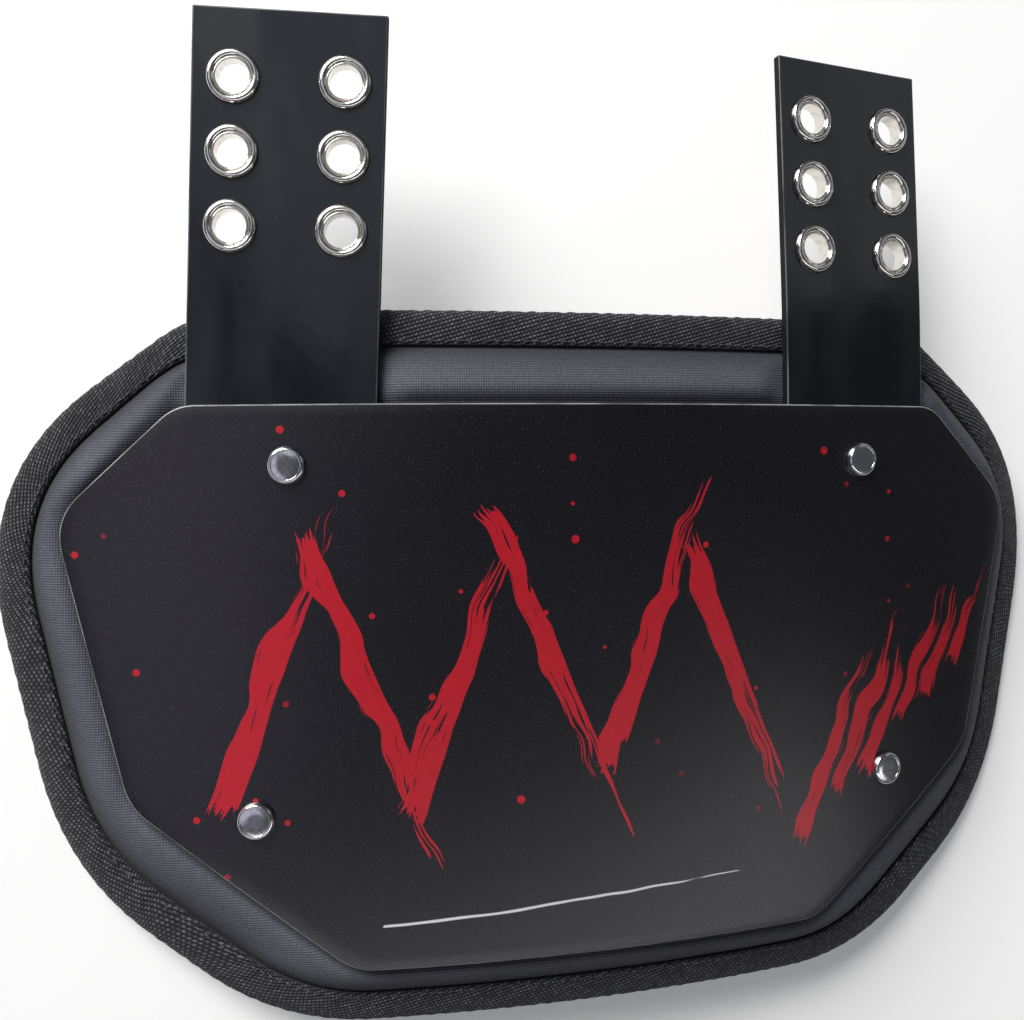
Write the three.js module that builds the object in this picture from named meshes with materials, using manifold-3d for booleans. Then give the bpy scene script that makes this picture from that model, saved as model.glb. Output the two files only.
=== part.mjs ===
// A football back plate: a curved hard plate on a cloth-covered pad, with two stiff straps that carry
// eyelets. Units are millimetres. It lies on a table on its pad, face up: +X runs to the right as the
// plate is looked at, +Y towards the strap ends and +Z up, out of the plate's face.
//
// Most sizes belong to the plate's flat layout, as if the plate were not bent: s across from the middle
// line, h up from the plate's mid-height and d straight behind the plate's face.
import * as THREE from "three";
import { mergeVertices } from "three/addons/utils/BufferGeometryUtils.js";
import Module from "manifold-3d";

// The whole part
const FACE_RADIUS = 570; // bend of the plate's face round the wearer's back
const REST_TILT = 5.4; // degrees that the strap end is raised when the part lies on its pad
const GAP = 0.3; // room between neighbouring pieces

// Half outlines in the flat layout, from the top edge round to the bottom edge. round is the straight length
// that a corner's rounding takes from each of its two edges.
const PLATE_CORNERS = [
  { s: 129.2, h: 87.3, round: 6 },
  { s: 167.4, h: 53.2, round: 11 },
  { s: 146.3, h: -34.5, round: 7 },
  { s: 78.4, h: -87.3, round: 7 },
];
const RIM_CORNERS = [
  { s: 126.3, h: 105.7, round: 18 },
  { s: 188.5, h: 54.5, round: 20 },
  { s: 158.7, h: -50, round: 17 },
  { s: 91.7, h: -98.5, round: 14 },
];
const EDGE_CORNERS = [
  { s: 125.4, h: 116.6, round: 24 },
  { s: 204.6, h: 59, round: 30 },
  { s: 167.7, h: -60.5, round: 22 },
  { s: 99.1, h: -107.5, round: 16 },
];
const CORNER_STEPS = 12;

// Plate
const PLATE_THICKNESS = 2.5;
const PLATE_BEVEL = 0.4;
const PLATE_STATIONS = 32; // columns of points from the middle line to the tip

// Pad: a raised middle that falls in a round shoulder to a thin sewn flange
const PAD_FRONT = PLATE_THICKNESS + GAP;
const PAD_BACK = 20;
const FLANGE_FRONT = 10.9;
const FLANGE_BACK = 13.1;
const SHOULDER_START = 0.25; // part of the way from the plate's edge to the rim that stays flat
const SHOULDER_STEPS = 5;
const PAD_STATIONS = 20;

// Binding: a tape folded over the flange, in fractions of the way from the rim to the outer edge
const TAPE_FRONT = 8.9;
const TAPE_BACK = 15.1;
const TAPE_THICKNESS = 1.7;
const TAPE_START = 0.03;
const TAPE_CREST = 0.4;
const TAPE_TURN = 0.85;
const TAPE_TURN_DROP = 0.7; // mm from the tape's crest down to where it turns round the edge
const TAPE_FOLD = 0.84;

// Straps
const STRAP_WIDTH = 58;
const STRAP_THICKNESS = 3;
const STRAP_CENTRE = 98;
const STRAP_BOTTOM = 48;
const STRAP_TOP = 204.4;
const STRAP_CREASES = [90, 122]; // a strap bends a little here, above the plate's top edge and above the pad
const CHANNEL_FRONT = 5; // the pad's channel for a strap is open this far in front of the strap's face
// Degrees: lean turns a strap in its own plane towards the right, and crease bends it back at each crease.
const STRAPS = [
  { name: "left", side: -1, lean: 2.7, crease: -0.5 },
  { name: "right", side: 1, lean: 0.4, crease: 1.65 },
];

// Eyelets, in two columns and three rows on each strap
const EYELET_COLUMN_PITCH = 33.2;
const EYELET_ROWS = [
  { name: "top", h: 184 },
  { name: "middle", h: 162 },
  { name: "bottom", h: 140 },
];
const EYELET_BORE_RADIUS = 5;
const EYELET_BARREL_RADIUS = 5.7;
const EYELET_FLANGE_RADIUS = 8;
const EYELET_ROLL_HEIGHT = 1.7;
const EYELET_CREST_RADIUS = 6.35; // the highest circle of the rolled flange
const EYELET_OUTER_ROUND = { in: 0.6, height: 1.36 }; // how the roll comes down to its outer edge
const EYELET_LIP_HEIGHT = 0.85; // the roll's height where it turns into the bore
const EYELET_BACK_HEIGHT = 1.1;
const EYELET_SIDES = 18;

// Post screws through the plate, the pad and, at the top, the straps
const SCREWS = [
  { name: "upper", s: 96.3, h: 68.8 },
  { name: "lower", s: 107.5, h: -38.9 },
];
const SCREW_CAP_RADIUS = 5.8;
const SCREW_CAP_HEIGHT = 2.2;
const SCREW_CAP_BEVEL = 0.9;
const SCREW_POST_RADIUS = 3;
const SCREW_FOOT_RADIUS = 7;
const SCREW_FOOT_THICKNESS = 1.2;
const SCREW_SIDES = 20;

const wasm = await Module();
wasm.setup();

const finish = {
  plate: new THREE.MeshStandardMaterial({ color: "#141319", roughness: 0.42, metalness: 0 }),
  strap: new THREE.MeshStandardMaterial({ color: "#0b0c10", roughness: 0.18, metalness: 0 }),
  pad: new THREE.MeshStandardMaterial({ color: "#2a2c36", roughness: 0.95, metalness: 0 }),
  binding: new THREE.MeshStandardMaterial({ color: "#1b1c20", roughness: 0.85, metalness: 0 }),
  nickel: new THREE.MeshStandardMaterial({ color: "#c9c6bf", roughness: 0.2, metalness: 1 }),
  chrome: new THREE.MeshStandardMaterial({ color: "#bdbdbf", roughness: 0.15, metalness: 1 }),
};

// A point of the flat layout, bent round the face's cylinder.
function bent(s, h, d) {
  const angle = s / FACE_RADIUS;
  const radius = FACE_RADIUS - d;
  return new THREE.Vector3(radius * Math.sin(angle), h, radius * Math.cos(angle) - FACE_RADIUS);
}

// The direction out of the face at s.
function outward(s) {
  const angle = s / FACE_RADIUS;
  return new THREE.Vector3(Math.sin(angle), 0, Math.cos(angle));
}

// Half an outline as a line of points, from the middle of the top edge to the middle of the bottom edge.
function halfOutline(corners) {
  const points = corners.map((corner) => new THREE.Vector2(corner.s, corner.h));
  const first = new THREE.Vector2(0, points[0].y);
  const last = new THREE.Vector2(0, points.at(-1).y);
  const path = new THREE.Path([first]);
  path.currentPoint.copy(first);
  points.forEach((corner, i) => {
    const before = points[i - 1] ?? first;
    const after = points[i + 1] ?? last;
    const start = before.clone().sub(corner).setLength(corners[i].round).add(corner);
    const end = after.clone().sub(corner).setLength(corners[i].round).add(corner);
    path.lineTo(start.x, start.y);
    path.quadraticCurveTo(corner.x, corner.y, end.x, end.y);
  });
  path.lineTo(last.x, last.y);
  return path.getPoints(CORNER_STEPS);
}

// The height of a line of points at s, where s only grows or only falls along the line.
function heightAt(line, s) {
  const spans = (p, q) => (p.x - s) * (q.x - s) <= 0 && p.x !== q.x;
  const i = line.findIndex((p, k) => k > 0 && spans(p, line[k - 1]));
  const from = line[i - 1];
  const to = line[i];
  return THREE.MathUtils.lerp(from.y, to.y, (s - from.x) / (to.x - from.x));
}

// A closed loop of layout points round an outline, from the right tip over the top to the left tip and back
// below. The points above and below each station have the same s, so strips join them along the cylinder.
function loopOf(corners, stations) {
  const half = halfOutline(corners);
  const tip = half.reduce((best, p, i) => (p.x > half[best].x ? i : best), 0);
  const upper = half.slice(0, tip + 1);
  const lower = half.slice(tip);
  const loop = [];
  const add = (line, i) => {
    const s = half[tip].x * Math.sin((Math.PI / 2) * (i / stations));
    const h = Math.abs(i) === stations ? half[tip].y : heightAt(line, Math.abs(s));
    loop.push(new THREE.Vector2(s, h));
  };
  for (let i = stations; i >= -stations; i--) add(upper, i);
  for (let i = 1 - stations; i < stations; i++) add(lower, i);
  return loop;
}

// The loop that lies part of the way from one loop to another.
function between(from, to, part) {
  return from.map((p, i) => p.clone().lerp(to[i], part));
}

// The loop moved inwards by about the given distance.
function inset(loop, distance) {
  const width = Math.max(...loop.map((p) => p.x));
  const height = Math.max(...loop.map((p) => p.y));
  const scale = new THREE.Vector2(1 - distance / width, 1 - distance / height);
  return loop.map((p) => p.clone().multiply(scale));
}

// A solid whose skin runs through the given loops, each { loop, depth }, from its front to its back.
// A ring closes on its own first loop. Any other solid is closed by strips across its first and last loops.
function skin(loops, isRing) {
  const count = loops[0].loop.length;
  const positions = loops.flatMap(({ loop, depth }) => loop.flatMap((p) => bent(p.x, p.y, depth).toArray()));
  const triangles = [];
  const triangle = (a, b, c) => {
    if (a !== b && b !== c && c !== a) triangles.push(a, b, c);
  };
  const quad = (a, b, c, d) => {
    triangle(a, b, c);
    triangle(a, c, d);
  };
  const bands = isRing ? loops.length : loops.length - 1;
  for (let j = 0; j < bands; j++) {
    const near = j * count;
    const far = ((j + 1) % loops.length) * count;
    for (let k = 0; k < count; k++) {
      const next = (k + 1) % count;
      quad(near + k, far + k, far + next, near + next);
    }
  }
  if (!isRing) {
    const back = (loops.length - 1) * count;
    for (let k = 0; k < count / 2; k++) {
      const [right, left] = [k, k + 1];
      const [rightBelow, leftBelow] = [(count - k) % count, count - k - 1];
      quad(right, left, leftBelow, rightBelow);
      quad(back + rightBelow, back + leftBelow, back + left, back + right);
    }
  }
  const geometry = new THREE.BufferGeometry();
  geometry.setAttribute("position", new THREE.Float32BufferAttribute(positions, 3));
  geometry.setIndex(triangles);
  return geometry;
}

// A geometry as a solid that can be cut, placed by a matrix.
function solidOf(geometry, matrix = new THREE.Matrix4()) {
  const bare = new THREE.BufferGeometry();
  bare.setAttribute("position", geometry.getAttribute("position").clone());
  bare.setIndex(geometry.getIndex());
  const merged = mergeVertices(bare.applyMatrix4(matrix), 1e-3);
  const mesh = new wasm.Mesh({
    numProp: 3,
    vertProperties: merged.attributes.position.array,
    triVerts: new Uint32Array(merged.index.array),
  });
  return new wasm.Manifold(mesh);
}

// The geometry with each tool's solid cut out of it.
function cut(geometry, tools) {
  const result = tools.reduce((solid, tool) => solid.subtract(tool), solidOf(geometry)).getMesh();
  const cutGeometry = new THREE.BufferGeometry();
  cutGeometry.setAttribute("position", new THREE.BufferAttribute(result.vertProperties, 3));
  cutGeometry.setIndex(new THREE.BufferAttribute(result.triVerts, 1));
  return cutGeometry;
}

// The matrix that stands a lathe's axis along a direction at a point.
function standing(point, direction) {
  const turn = new THREE.Quaternion().setFromUnitVectors(new THREE.Vector3(0, 1, 0), direction);
  return new THREE.Matrix4().compose(point, turn, new THREE.Vector3(1, 1, 1));
}

// A round cutter along a place's axis, from one depth behind its face to another.
function drill(place, radius, from, to, sides) {
  const shape = new THREE.CylinderGeometry(radius, radius, to - from, sides);
  shape.translate(0, -(from + to) / 2, 0);
  return solidOf(shape, standing(place.point, place.direction));
}

function named(name, geometry, material) {
  const mesh = new THREE.Mesh(geometry, material);
  mesh.name = name;
  return mesh;
}

// A strap is flat across, so at its middle line it lies this far behind the plate's face to clear the bend.
const STRAP_DEPTH = PLATE_THICKNESS + GAP + STRAP_WIDTH ** 2 / (8 * FACE_RADIUS);
const PLATE_TOP = PLATE_CORNERS[0].h;

// A point of a strap: a across from its middle line to the right, h up the strap and t behind its face.
function strapPoint(strap, a, h, t) {
  const lean = THREE.MathUtils.degToRad(strap.lean);
  const along = h - PLATE_TOP;
  const across = a * Math.cos(lean) + along * Math.sin(lean);
  const up = along * Math.cos(lean) - a * Math.sin(lean);
  const slope = Math.tan(THREE.MathUtils.degToRad(strap.crease));
  const bend = STRAP_CREASES.reduce((sum, crease) => sum + Math.max(0, h - crease) * slope, 0);
  const centre = strap.side * STRAP_CENTRE;
  const angle = centre / FACE_RADIUS;
  const right = new THREE.Vector3(Math.cos(angle), 0, -Math.sin(angle));
  return bent(centre, PLATE_TOP + up, 0)
    .addScaledVector(right, across)
    .addScaledVector(outward(centre), -(STRAP_DEPTH + t + bend));
}

// A strap's slab with a row of points at each crease, grown by some extra room and in front by its own.
function strapSlab(strap, extra, front) {
  const rows = [STRAP_BOTTOM - extra, ...STRAP_CREASES, STRAP_TOP + extra];
  const cells = rows.length - 1;
  const width = STRAP_WIDTH + 2 * extra;
  const thickness = STRAP_THICKNESS + extra + front;
  const slab = new THREE.BoxGeometry(width, cells, thickness, 1, cells, 1);
  const position = slab.getAttribute("position");
  for (let i = 0; i < position.count; i++) {
    const h = rows[Math.round(position.getY(i) + cells / 2)];
    const point = strapPoint(strap, position.getX(i), h, thickness / 2 - front - position.getZ(i));
    position.setXYZ(i, point.x, point.y, point.z);
  }
  return slab;
}

// Where an eyelet sits: the middle of its hole on the strap's face, and the way that the face looks.
function eyeletPlace(strap, column, row) {
  const a = (column * EYELET_COLUMN_PITCH) / 2;
  const point = strapPoint(strap, a, row.h, 0);
  const across = strapPoint(strap, a + 1, row.h, 0).sub(point);
  const up = strapPoint(strap, a, row.h + 1, 0).sub(point);
  return { point, direction: across.cross(up).normalize() };
}

function screwPlace(screw, side) {
  const s = side * screw.s;
  return { point: bent(s, screw.h, 0), direction: outward(s) };
}

const screwPlaces = STRAPS.flatMap(({ name, side }) =>
  SCREWS.map((screw) => ({ name: `screw_${screw.name}_${name}`, ...screwPlace(screw, side) })),
);
const eyeletPlaces = STRAPS.flatMap((strap) =>
  [-1, 1].flatMap((column) => {
    const place = column === strap.side ? "outer" : "inner";
    return EYELET_ROWS.map((row) => ({
      name: `eyelet_${strap.name}_${place}_${row.name}`,
      strap,
      ...eyeletPlace(strap, column, row),
    }));
  }),
);
const postHole = (place) => drill(place, SCREW_POST_RADIUS + GAP, -PAD_BACK, 2 * PAD_BACK, SCREW_SIDES);

function makePlate() {
  const outline = loopOf(PLATE_CORNERS, PLATE_STATIONS);
  const shell = skin([
    { loop: inset(outline, PLATE_BEVEL), depth: 0 },
    { loop: outline, depth: PLATE_BEVEL },
    { loop: outline, depth: PLATE_THICKNESS },
  ]);
  return named("face_plate", cut(shell, screwPlaces.map(postHole)), finish.plate);
}

// The pad's shoulder in steps from the flat middle to the rim: how far out and how far down, from 0 to 1.
function shoulder() {
  return Array.from({ length: SHOULDER_STEPS + 1 }, (_, i) => {
    const angle = (Math.PI / 2) * (i / SHOULDER_STEPS);
    return { out: SHOULDER_START + (1 - SHOULDER_START) * Math.sin(angle), down: 1 - Math.cos(angle) };
  });
}

function makePad() {
  const middle = loopOf(PLATE_CORNERS, PAD_STATIONS);
  const rim = loopOf(RIM_CORNERS, PAD_STATIONS);
  const edge = loopOf(EDGE_CORNERS, PAD_STATIONS);
  const flange = between(rim, edge, TAPE_FOLD - (GAP / TAPE_THICKNESS) * (1 - TAPE_FOLD));
  const side = (surface, rimDepth) =>
    shoulder().map(({ out, down }) => ({
      loop: between(middle, rim, out),
      depth: THREE.MathUtils.lerp(surface, rimDepth, down),
    }));
  const body = skin([
    { loop: middle, depth: PAD_FRONT },
    ...side(PAD_FRONT, FLANGE_FRONT),
    { loop: flange, depth: FLANGE_FRONT },
    { loop: flange, depth: FLANGE_BACK },
    ...side(PAD_BACK, FLANGE_BACK).reverse(),
    { loop: middle, depth: PAD_BACK },
  ]);
  const footTop = PAD_BACK - SCREW_FOOT_THICKNESS - GAP;
  const cutters = [
    ...STRAPS.map((strap) => solidOf(strapSlab(strap, GAP, CHANNEL_FRONT))),
    ...screwPlaces.map(postHole),
    ...screwPlaces.map((place) => drill(place, SCREW_FOOT_RADIUS + GAP, footTop, 2 * PAD_BACK, SCREW_SIDES)),
  ];
  return named("back_pad", cut(body, cutters), finish.pad);
}

function makeBinding() {
  const rim = loopOf(RIM_CORNERS, PAD_STATIONS);
  const edge = loopOf(EDGE_CORNERS, PAD_STATIONS);
  const middle = (TAPE_FRONT + TAPE_BACK) / 2;
  const section = [
    { out: TAPE_START, depth: TAPE_FRONT + GAP },
    { out: TAPE_CREST, depth: TAPE_FRONT },
    { out: TAPE_TURN, depth: TAPE_FRONT + TAPE_TURN_DROP },
    { out: 1, depth: middle },
    { out: TAPE_TURN, depth: TAPE_BACK - TAPE_TURN_DROP },
    { out: TAPE_CREST, depth: TAPE_BACK },
    { out: TAPE_START, depth: TAPE_BACK - GAP },
    { out: TAPE_START, depth: TAPE_BACK - TAPE_THICKNESS },
    { out: TAPE_FOLD, depth: TAPE_BACK - TAPE_THICKNESS },
    { out: TAPE_FOLD, depth: TAPE_FRONT + TAPE_THICKNESS },
    { out: TAPE_START, depth: TAPE_FRONT + TAPE_THICKNESS },
  ];
  const loops = section.map(({ out, depth }) => ({ loop: between(rim, edge, out), depth }));
  return named("edge_binding", skin(loops, true), finish.binding);
}

function makeStrap(strap) {
  const eyeletHole = (place) =>
    drill(place, EYELET_BARREL_RADIUS + GAP, -STRAP_THICKNESS, 2 * STRAP_THICKNESS, EYELET_SIDES);
  const holes = eyeletPlaces.filter((place) => place.strap === strap).map(eyeletHole);
  const sheet = cut(strapSlab(strap, 0, 0), [...holes, ...screwPlaces.map(postHole)]);
  return named(`strap_${strap.name}`, sheet, finish.strap);
}

// A closed lathe solid from corners given as [radius, height over the strap's or the plate's face].
function turned(corners, sides) {
  return new THREE.LatheGeometry(corners.map(([radius, height]) => new THREE.Vector2(radius, height)), sides);
}

// An eyelet: a rolled flange on the strap's face, a barrel through the hole and a flat flange behind.
function makeEyelet(place) {
  const back = -STRAP_THICKNESS - GAP;
  const profile = [
    [EYELET_BORE_RADIUS, back - EYELET_BACK_HEIGHT],
    [EYELET_FLANGE_RADIUS - GAP, back - EYELET_BACK_HEIGHT / 2],
    [EYELET_FLANGE_RADIUS - GAP, back],
    [EYELET_BARREL_RADIUS, back],
    [EYELET_BARREL_RADIUS, GAP],
    [EYELET_FLANGE_RADIUS, GAP],
    [EYELET_FLANGE_RADIUS - EYELET_OUTER_ROUND.in, EYELET_OUTER_ROUND.height],
    [EYELET_CREST_RADIUS, EYELET_ROLL_HEIGHT],
    [EYELET_BORE_RADIUS, EYELET_LIP_HEIGHT],
    [EYELET_BORE_RADIUS, back - EYELET_BACK_HEIGHT],
  ];
  const mesh = named(place.name, turned(profile, EYELET_SIDES), finish.nickel);
  mesh.applyMatrix4(standing(place.point, place.direction));
  return mesh;
}

// A post screw: a bevelled flat cap on the plate, a post through everything behind it and a flat foot that
// lies in the pad's back.
function makeScrew(place) {
  const foot = -PAD_BACK + GAP / 2;
  const profile = [
    [0, foot],
    [SCREW_FOOT_RADIUS, foot],
    [SCREW_FOOT_RADIUS, foot + SCREW_FOOT_THICKNESS],
    [SCREW_POST_RADIUS, foot + SCREW_FOOT_THICKNESS],
    [SCREW_POST_RADIUS, GAP],
    [SCREW_CAP_RADIUS, GAP],
    [SCREW_CAP_RADIUS, SCREW_CAP_HEIGHT - SCREW_CAP_BEVEL],
    [SCREW_CAP_RADIUS - SCREW_CAP_BEVEL, SCREW_CAP_HEIGHT],
    [0, SCREW_CAP_HEIGHT],
  ];
  const mesh = named(place.name, turned(profile, SCREW_SIDES), finish.chrome);
  mesh.applyMatrix4(standing(place.point, place.direction));
  return mesh;
}

const worn = new THREE.Group();
worn.add(makePad(), makeBinding(), makePlate());
worn.add(...STRAPS.map(makeStrap));
worn.add(...eyeletPlaces.map(makeEyelet));
worn.add(...screwPlaces.map(makeScrew));

// Laid on a table: tilted as its curved back settles, with the origin under the middle of its box.
const backPlate = new THREE.Group();
backPlate.add(worn);
worn.rotation.x = THREE.MathUtils.degToRad(REST_TILT);
const box = new THREE.Box3().setFromObject(backPlate, true);
const middle = box.getCenter(new THREE.Vector3());
worn.position.set(-middle.x, -middle.y, -box.min.z);

export default backPlate;
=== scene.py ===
# %% [markdown]
# A football back plate, finished piece by piece.
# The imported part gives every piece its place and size. This lesson gives the pieces their looks: a printed
# satin shell, two glossy straps, a knitted pad, a twill tape with its stitches, and plated hardware.
# Each step says first what the piece is on the real object, how it could be made, and why this way was
# chosen.

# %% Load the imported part
import math
from collections import namedtuple

import bpy
import numpy as np
from mathutils import Matrix, Vector


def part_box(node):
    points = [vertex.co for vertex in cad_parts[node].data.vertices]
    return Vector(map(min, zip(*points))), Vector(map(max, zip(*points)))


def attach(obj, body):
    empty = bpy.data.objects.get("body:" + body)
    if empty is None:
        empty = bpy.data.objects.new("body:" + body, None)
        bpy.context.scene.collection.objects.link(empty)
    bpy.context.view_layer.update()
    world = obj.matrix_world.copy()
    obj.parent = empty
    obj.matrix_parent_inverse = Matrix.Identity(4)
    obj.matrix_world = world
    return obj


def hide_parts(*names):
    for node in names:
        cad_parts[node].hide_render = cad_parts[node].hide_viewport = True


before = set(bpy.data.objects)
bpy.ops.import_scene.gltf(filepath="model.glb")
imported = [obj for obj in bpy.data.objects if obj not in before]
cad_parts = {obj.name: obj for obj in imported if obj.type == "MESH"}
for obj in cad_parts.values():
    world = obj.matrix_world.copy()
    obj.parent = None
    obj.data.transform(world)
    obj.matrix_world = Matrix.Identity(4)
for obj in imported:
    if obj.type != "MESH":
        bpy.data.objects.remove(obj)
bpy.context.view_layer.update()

# %% [markdown]
# The shell, the pad and the tape all follow one cylinder, because they wrap the wearer's back.
# It is easiest to draw such pieces flat and to bend them afterwards: s runs across, h up and d straight
# behind the shell's face, all in millimetres. One function bends a flat point round the cylinder, and a later
# one lays the bent part on the floor, where its curved back makes it tilt a little.

# %% Bend the flat drawing
MM = 0.001
FACE_RADIUS = 570.0
REST_TILT = math.radians(5.4)
TILT = np.array(Matrix.Rotation(REST_TILT, 3, "X"))


def bent(s, h, d):
    """Flat points bent round the cylinder, in millimetres."""
    s, h, d = np.broadcast_arrays(np.asarray(s, float), h, d)
    angle = s / FACE_RADIUS
    radius = FACE_RADIUS - d
    return np.stack([radius * np.sin(angle), h, radius * np.cos(angle) - FACE_RADIUS], axis=-1)


def outward(s):
    """The way that the face looks at s."""
    return np.array([math.sin(s / FACE_RADIUS), 0.0, math.cos(s / FACE_RADIUS)])


print("a flat width of 300 mm spans", round(2 * bent(150, 0, 0)[0], 1), "mm when it is bent")

# %% [markdown]
# Three outlines shape the part: the shell's edge, the rim where the pad's shoulder ends, and the outer edge
# of the tape. Each is an eight-sided figure with round corners. All three use the same number of points on
# each side and corner, so a surface can run from one outline to the next without twisting. The rim and the
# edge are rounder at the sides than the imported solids, because the real pad's soft corners are.

# %% Draw the three outlines
Corner = namedtuple("Corner", "s h round")
PLATE_CORNERS = [
    Corner(129.2, 87.3, 6),
    Corner(167.4, 53.2, 11),
    Corner(146.3, -34.5, 7),
    Corner(78.4, -87.3, 7),
]
RIM_CORNERS = [
    Corner(126.3, 105.7, 18),
    Corner(186.3, 58.5, 36),
    Corner(161.5, -49.3, 26),
    Corner(94.8, -98.6, 22),
]
EDGE_CORNERS = [
    Corner(124.9, 117.1, 15),
    Corner(201.9, 65.1, 52),
    Corner(172.4, -58.8, 34),
    Corner(103.8, -108.1, 30),
]
CORNER_STEPS = 12
SIDE_STEPS = [12, 18, 16, 36, 16, 18, 12, 52]


def outline(corners):
    """A closed line of flat points, from the upper right corner clockwise."""
    mirrored = [Corner(-c.s, c.h, c.round) for c in reversed(corners)]
    loop = [*corners, *mirrored]
    tips = [np.array([c.s, c.h], float) for c in loop]
    curves = []
    for i, tip in enumerate(tips):
        before = tips[i - 1] - tip
        after = tips[(i + 1) % len(tips)] - tip
        start = tip + before / np.linalg.norm(before) * loop[i].round
        end = tip + after / np.linalg.norm(after) * loop[i].round
        t = np.linspace(0, 1, CORNER_STEPS + 1)[:, None]
        curves.append((1 - t) ** 2 * start + 2 * t * (1 - t) * tip + t**2 * end)
    points = []
    for i, curve in enumerate(curves):
        points.append(curve)
        following = curves[(i + 1) % len(curves)]
        t = np.linspace(0, 1, SIDE_STEPS[i] + 1)[1:-1, None]
        points.append(curve[-1] + t * (following[0] - curve[-1]))
    return np.concatenate(points)


def inset(loop, distance):
    """A line moved inwards by a distance."""
    along = np.roll(loop, -1, axis=0) - np.roll(loop, 1, axis=0)
    along /= np.linalg.norm(along, axis=1, keepdims=True)
    return loop + distance * np.stack([along[:, 1], -along[:, 0]], axis=1)


def between(first, second, part):
    """The line that lies part of the way from one line to another."""
    return first + (second - first) * part


plate_line = outline(PLATE_CORNERS)
rim_line = outline(RIM_CORNERS)
edge_line = outline(EDGE_CORNERS)
print("each outline has", len(plate_line), "points")

# %% [markdown]
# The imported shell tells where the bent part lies. Its lowest edge and its highest point are compared with the
# same points of the bent outline, and the difference is the shift that brings every later piece into place.

# %% Find where the part lies
PACKED_BEVEL = 0.4
shell_low, shell_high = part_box("face_plate")
tilted_line = bent(plate_line[:, 0], plate_line[:, 1], PACKED_BEVEL) @ TILT.T
tilted_face = bent(0, np.array([PLATE_CORNERS[0].h, PLATE_CORNERS[-1].h]), 0) @ TILT.T
SHIFT = np.array([
    (shell_low.x + shell_high.x) / 2 / MM,
    shell_low.y / MM - tilted_line[:, 1].min(),
    shell_high.z / MM - tilted_face[:, 2].max(),
])


def laid(points):
    """Bent points as they lie on the floor, in metres."""
    return (points @ TILT.T + SHIFT) * MM


print("the part is shifted by", SHIFT.round(2), "mm")

# %% [markdown]
# The camera comes early, because everything later is judged through it. The picture was taken from close by,
# a little left of the middle and above it, so the near strap looks larger than the far one. The place and the
# direction below are given for the bent part before it is laid down, and the same tilt carries them along.

# %% Set up the camera
CAMERA_PLACE = np.array([-100.9, 67.2, 315.0])
CAMERA_LOOK = np.array([0.2246, -0.0397, -0.9736])
CAMERA_UP = np.array([0.0205, 0.9991, -0.0360])
PICTURE_WIDTH = 1024
FOCAL_PIXELS = 1050
SENSOR_WIDTH = 36.0
NEAREST_SEEN = 0.01

look = Vector(TILT @ CAMERA_LOOK).normalized()
right = look.cross(Vector(TILT @ CAMERA_UP)).normalized()
up = right.cross(look)
camera = bpy.data.objects.new("camera", bpy.data.cameras.new("camera"))
facing = Matrix((right, up, -look)).transposed().to_4x4()
camera.matrix_world = Matrix.Translation(laid(CAMERA_PLACE)) @ facing
camera.data.sensor_width = SENSOR_WIDTH
camera.data.lens = SENSOR_WIDTH * FOCAL_PIXELS / PICTURE_WIDTH
camera.data.clip_start = NEAREST_SEEN
bpy.context.scene.collection.objects.link(camera)
bpy.context.scene.camera = camera
print("camera lens", round(camera.data.lens, 2), "mm, height", round(camera.location.z, 3), "m")

# %% [markdown]
# Materials are built from nodes, and a few short helpers keep that readable: one adds a node, one fills its
# sockets with plain values or with other sockets, and the rest wrap the nodes that are used most. The last
# one connects what every finish here has: a colour, a roughness and a relief.

# %% Helpers for node trees


def put(tree, kind, **settings):
    """Adds a node with its settings."""
    node = tree.nodes.new(kind)
    for name, value in settings.items():
        setattr(node, name, value)
    return node


def feed(tree, socket, value):
    """Fills a socket with a plain value or with another socket's."""
    if isinstance(value, bpy.types.NodeSocket):
        tree.links.new(value, socket)
    else:
        socket.default_value = value


def fill(tree, node, values):
    """Fills a node's first sockets in order."""
    for socket, value in zip(node.inputs, values):
        feed(tree, socket, value)
    return node


def fill_named(tree, node, values):
    """Fills a node's sockets by their names."""
    for label, value in values.items():
        feed(tree, node.inputs[label], value)
    return node


def calc(tree, operation, *values):
    """One step of arithmetic on numbers."""
    return fill(tree, put(tree, "ShaderNodeMath", operation=operation), values).outputs[0]


def vector_calc(tree, operation, *values):
    """One step of arithmetic on vectors."""
    node = fill(tree, put(tree, "ShaderNodeVectorMath", operation=operation), values)
    return node.outputs["Value" if operation in ("DOT_PRODUCT", "LENGTH") else "Vector"]


def scaled(tree, vector, factor):
    """A vector times a number."""
    node = put(tree, "ShaderNodeVectorMath", operation="SCALE")
    return fill_named(tree, node, {"Vector": vector, "Scale": factor}).outputs["Vector"]


def parts_of(tree, vector):
    """The x, y and z of a vector."""
    return fill(tree, put(tree, "ShaderNodeSeparateXYZ"), [vector]).outputs


def joined(tree, x=0.0, y=0.0, z=0.0):
    """A vector from its x, y and z."""
    return fill(tree, put(tree, "ShaderNodeCombineXYZ"), (x, y, z)).outputs[0]


def eased(tree, value, low, high, to_low=0.0, to_high=1.0):
    """A value that goes softly from one level to another between low and high."""
    node = put(tree, "ShaderNodeMapRange", interpolation_type="SMOOTHSTEP")
    return fill(tree, node, (value, low, high, to_low, to_high)).outputs["Result"]


def tinted(tree, factor, first, second):
    """A colour between two colours."""
    node = put(tree, "ShaderNodeMix", data_type="RGBA")
    feed(tree, node.inputs["Factor"], factor)
    feed(tree, node.inputs[6], first)
    feed(tree, node.inputs[7], second)
    return node.outputs[2]


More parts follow.
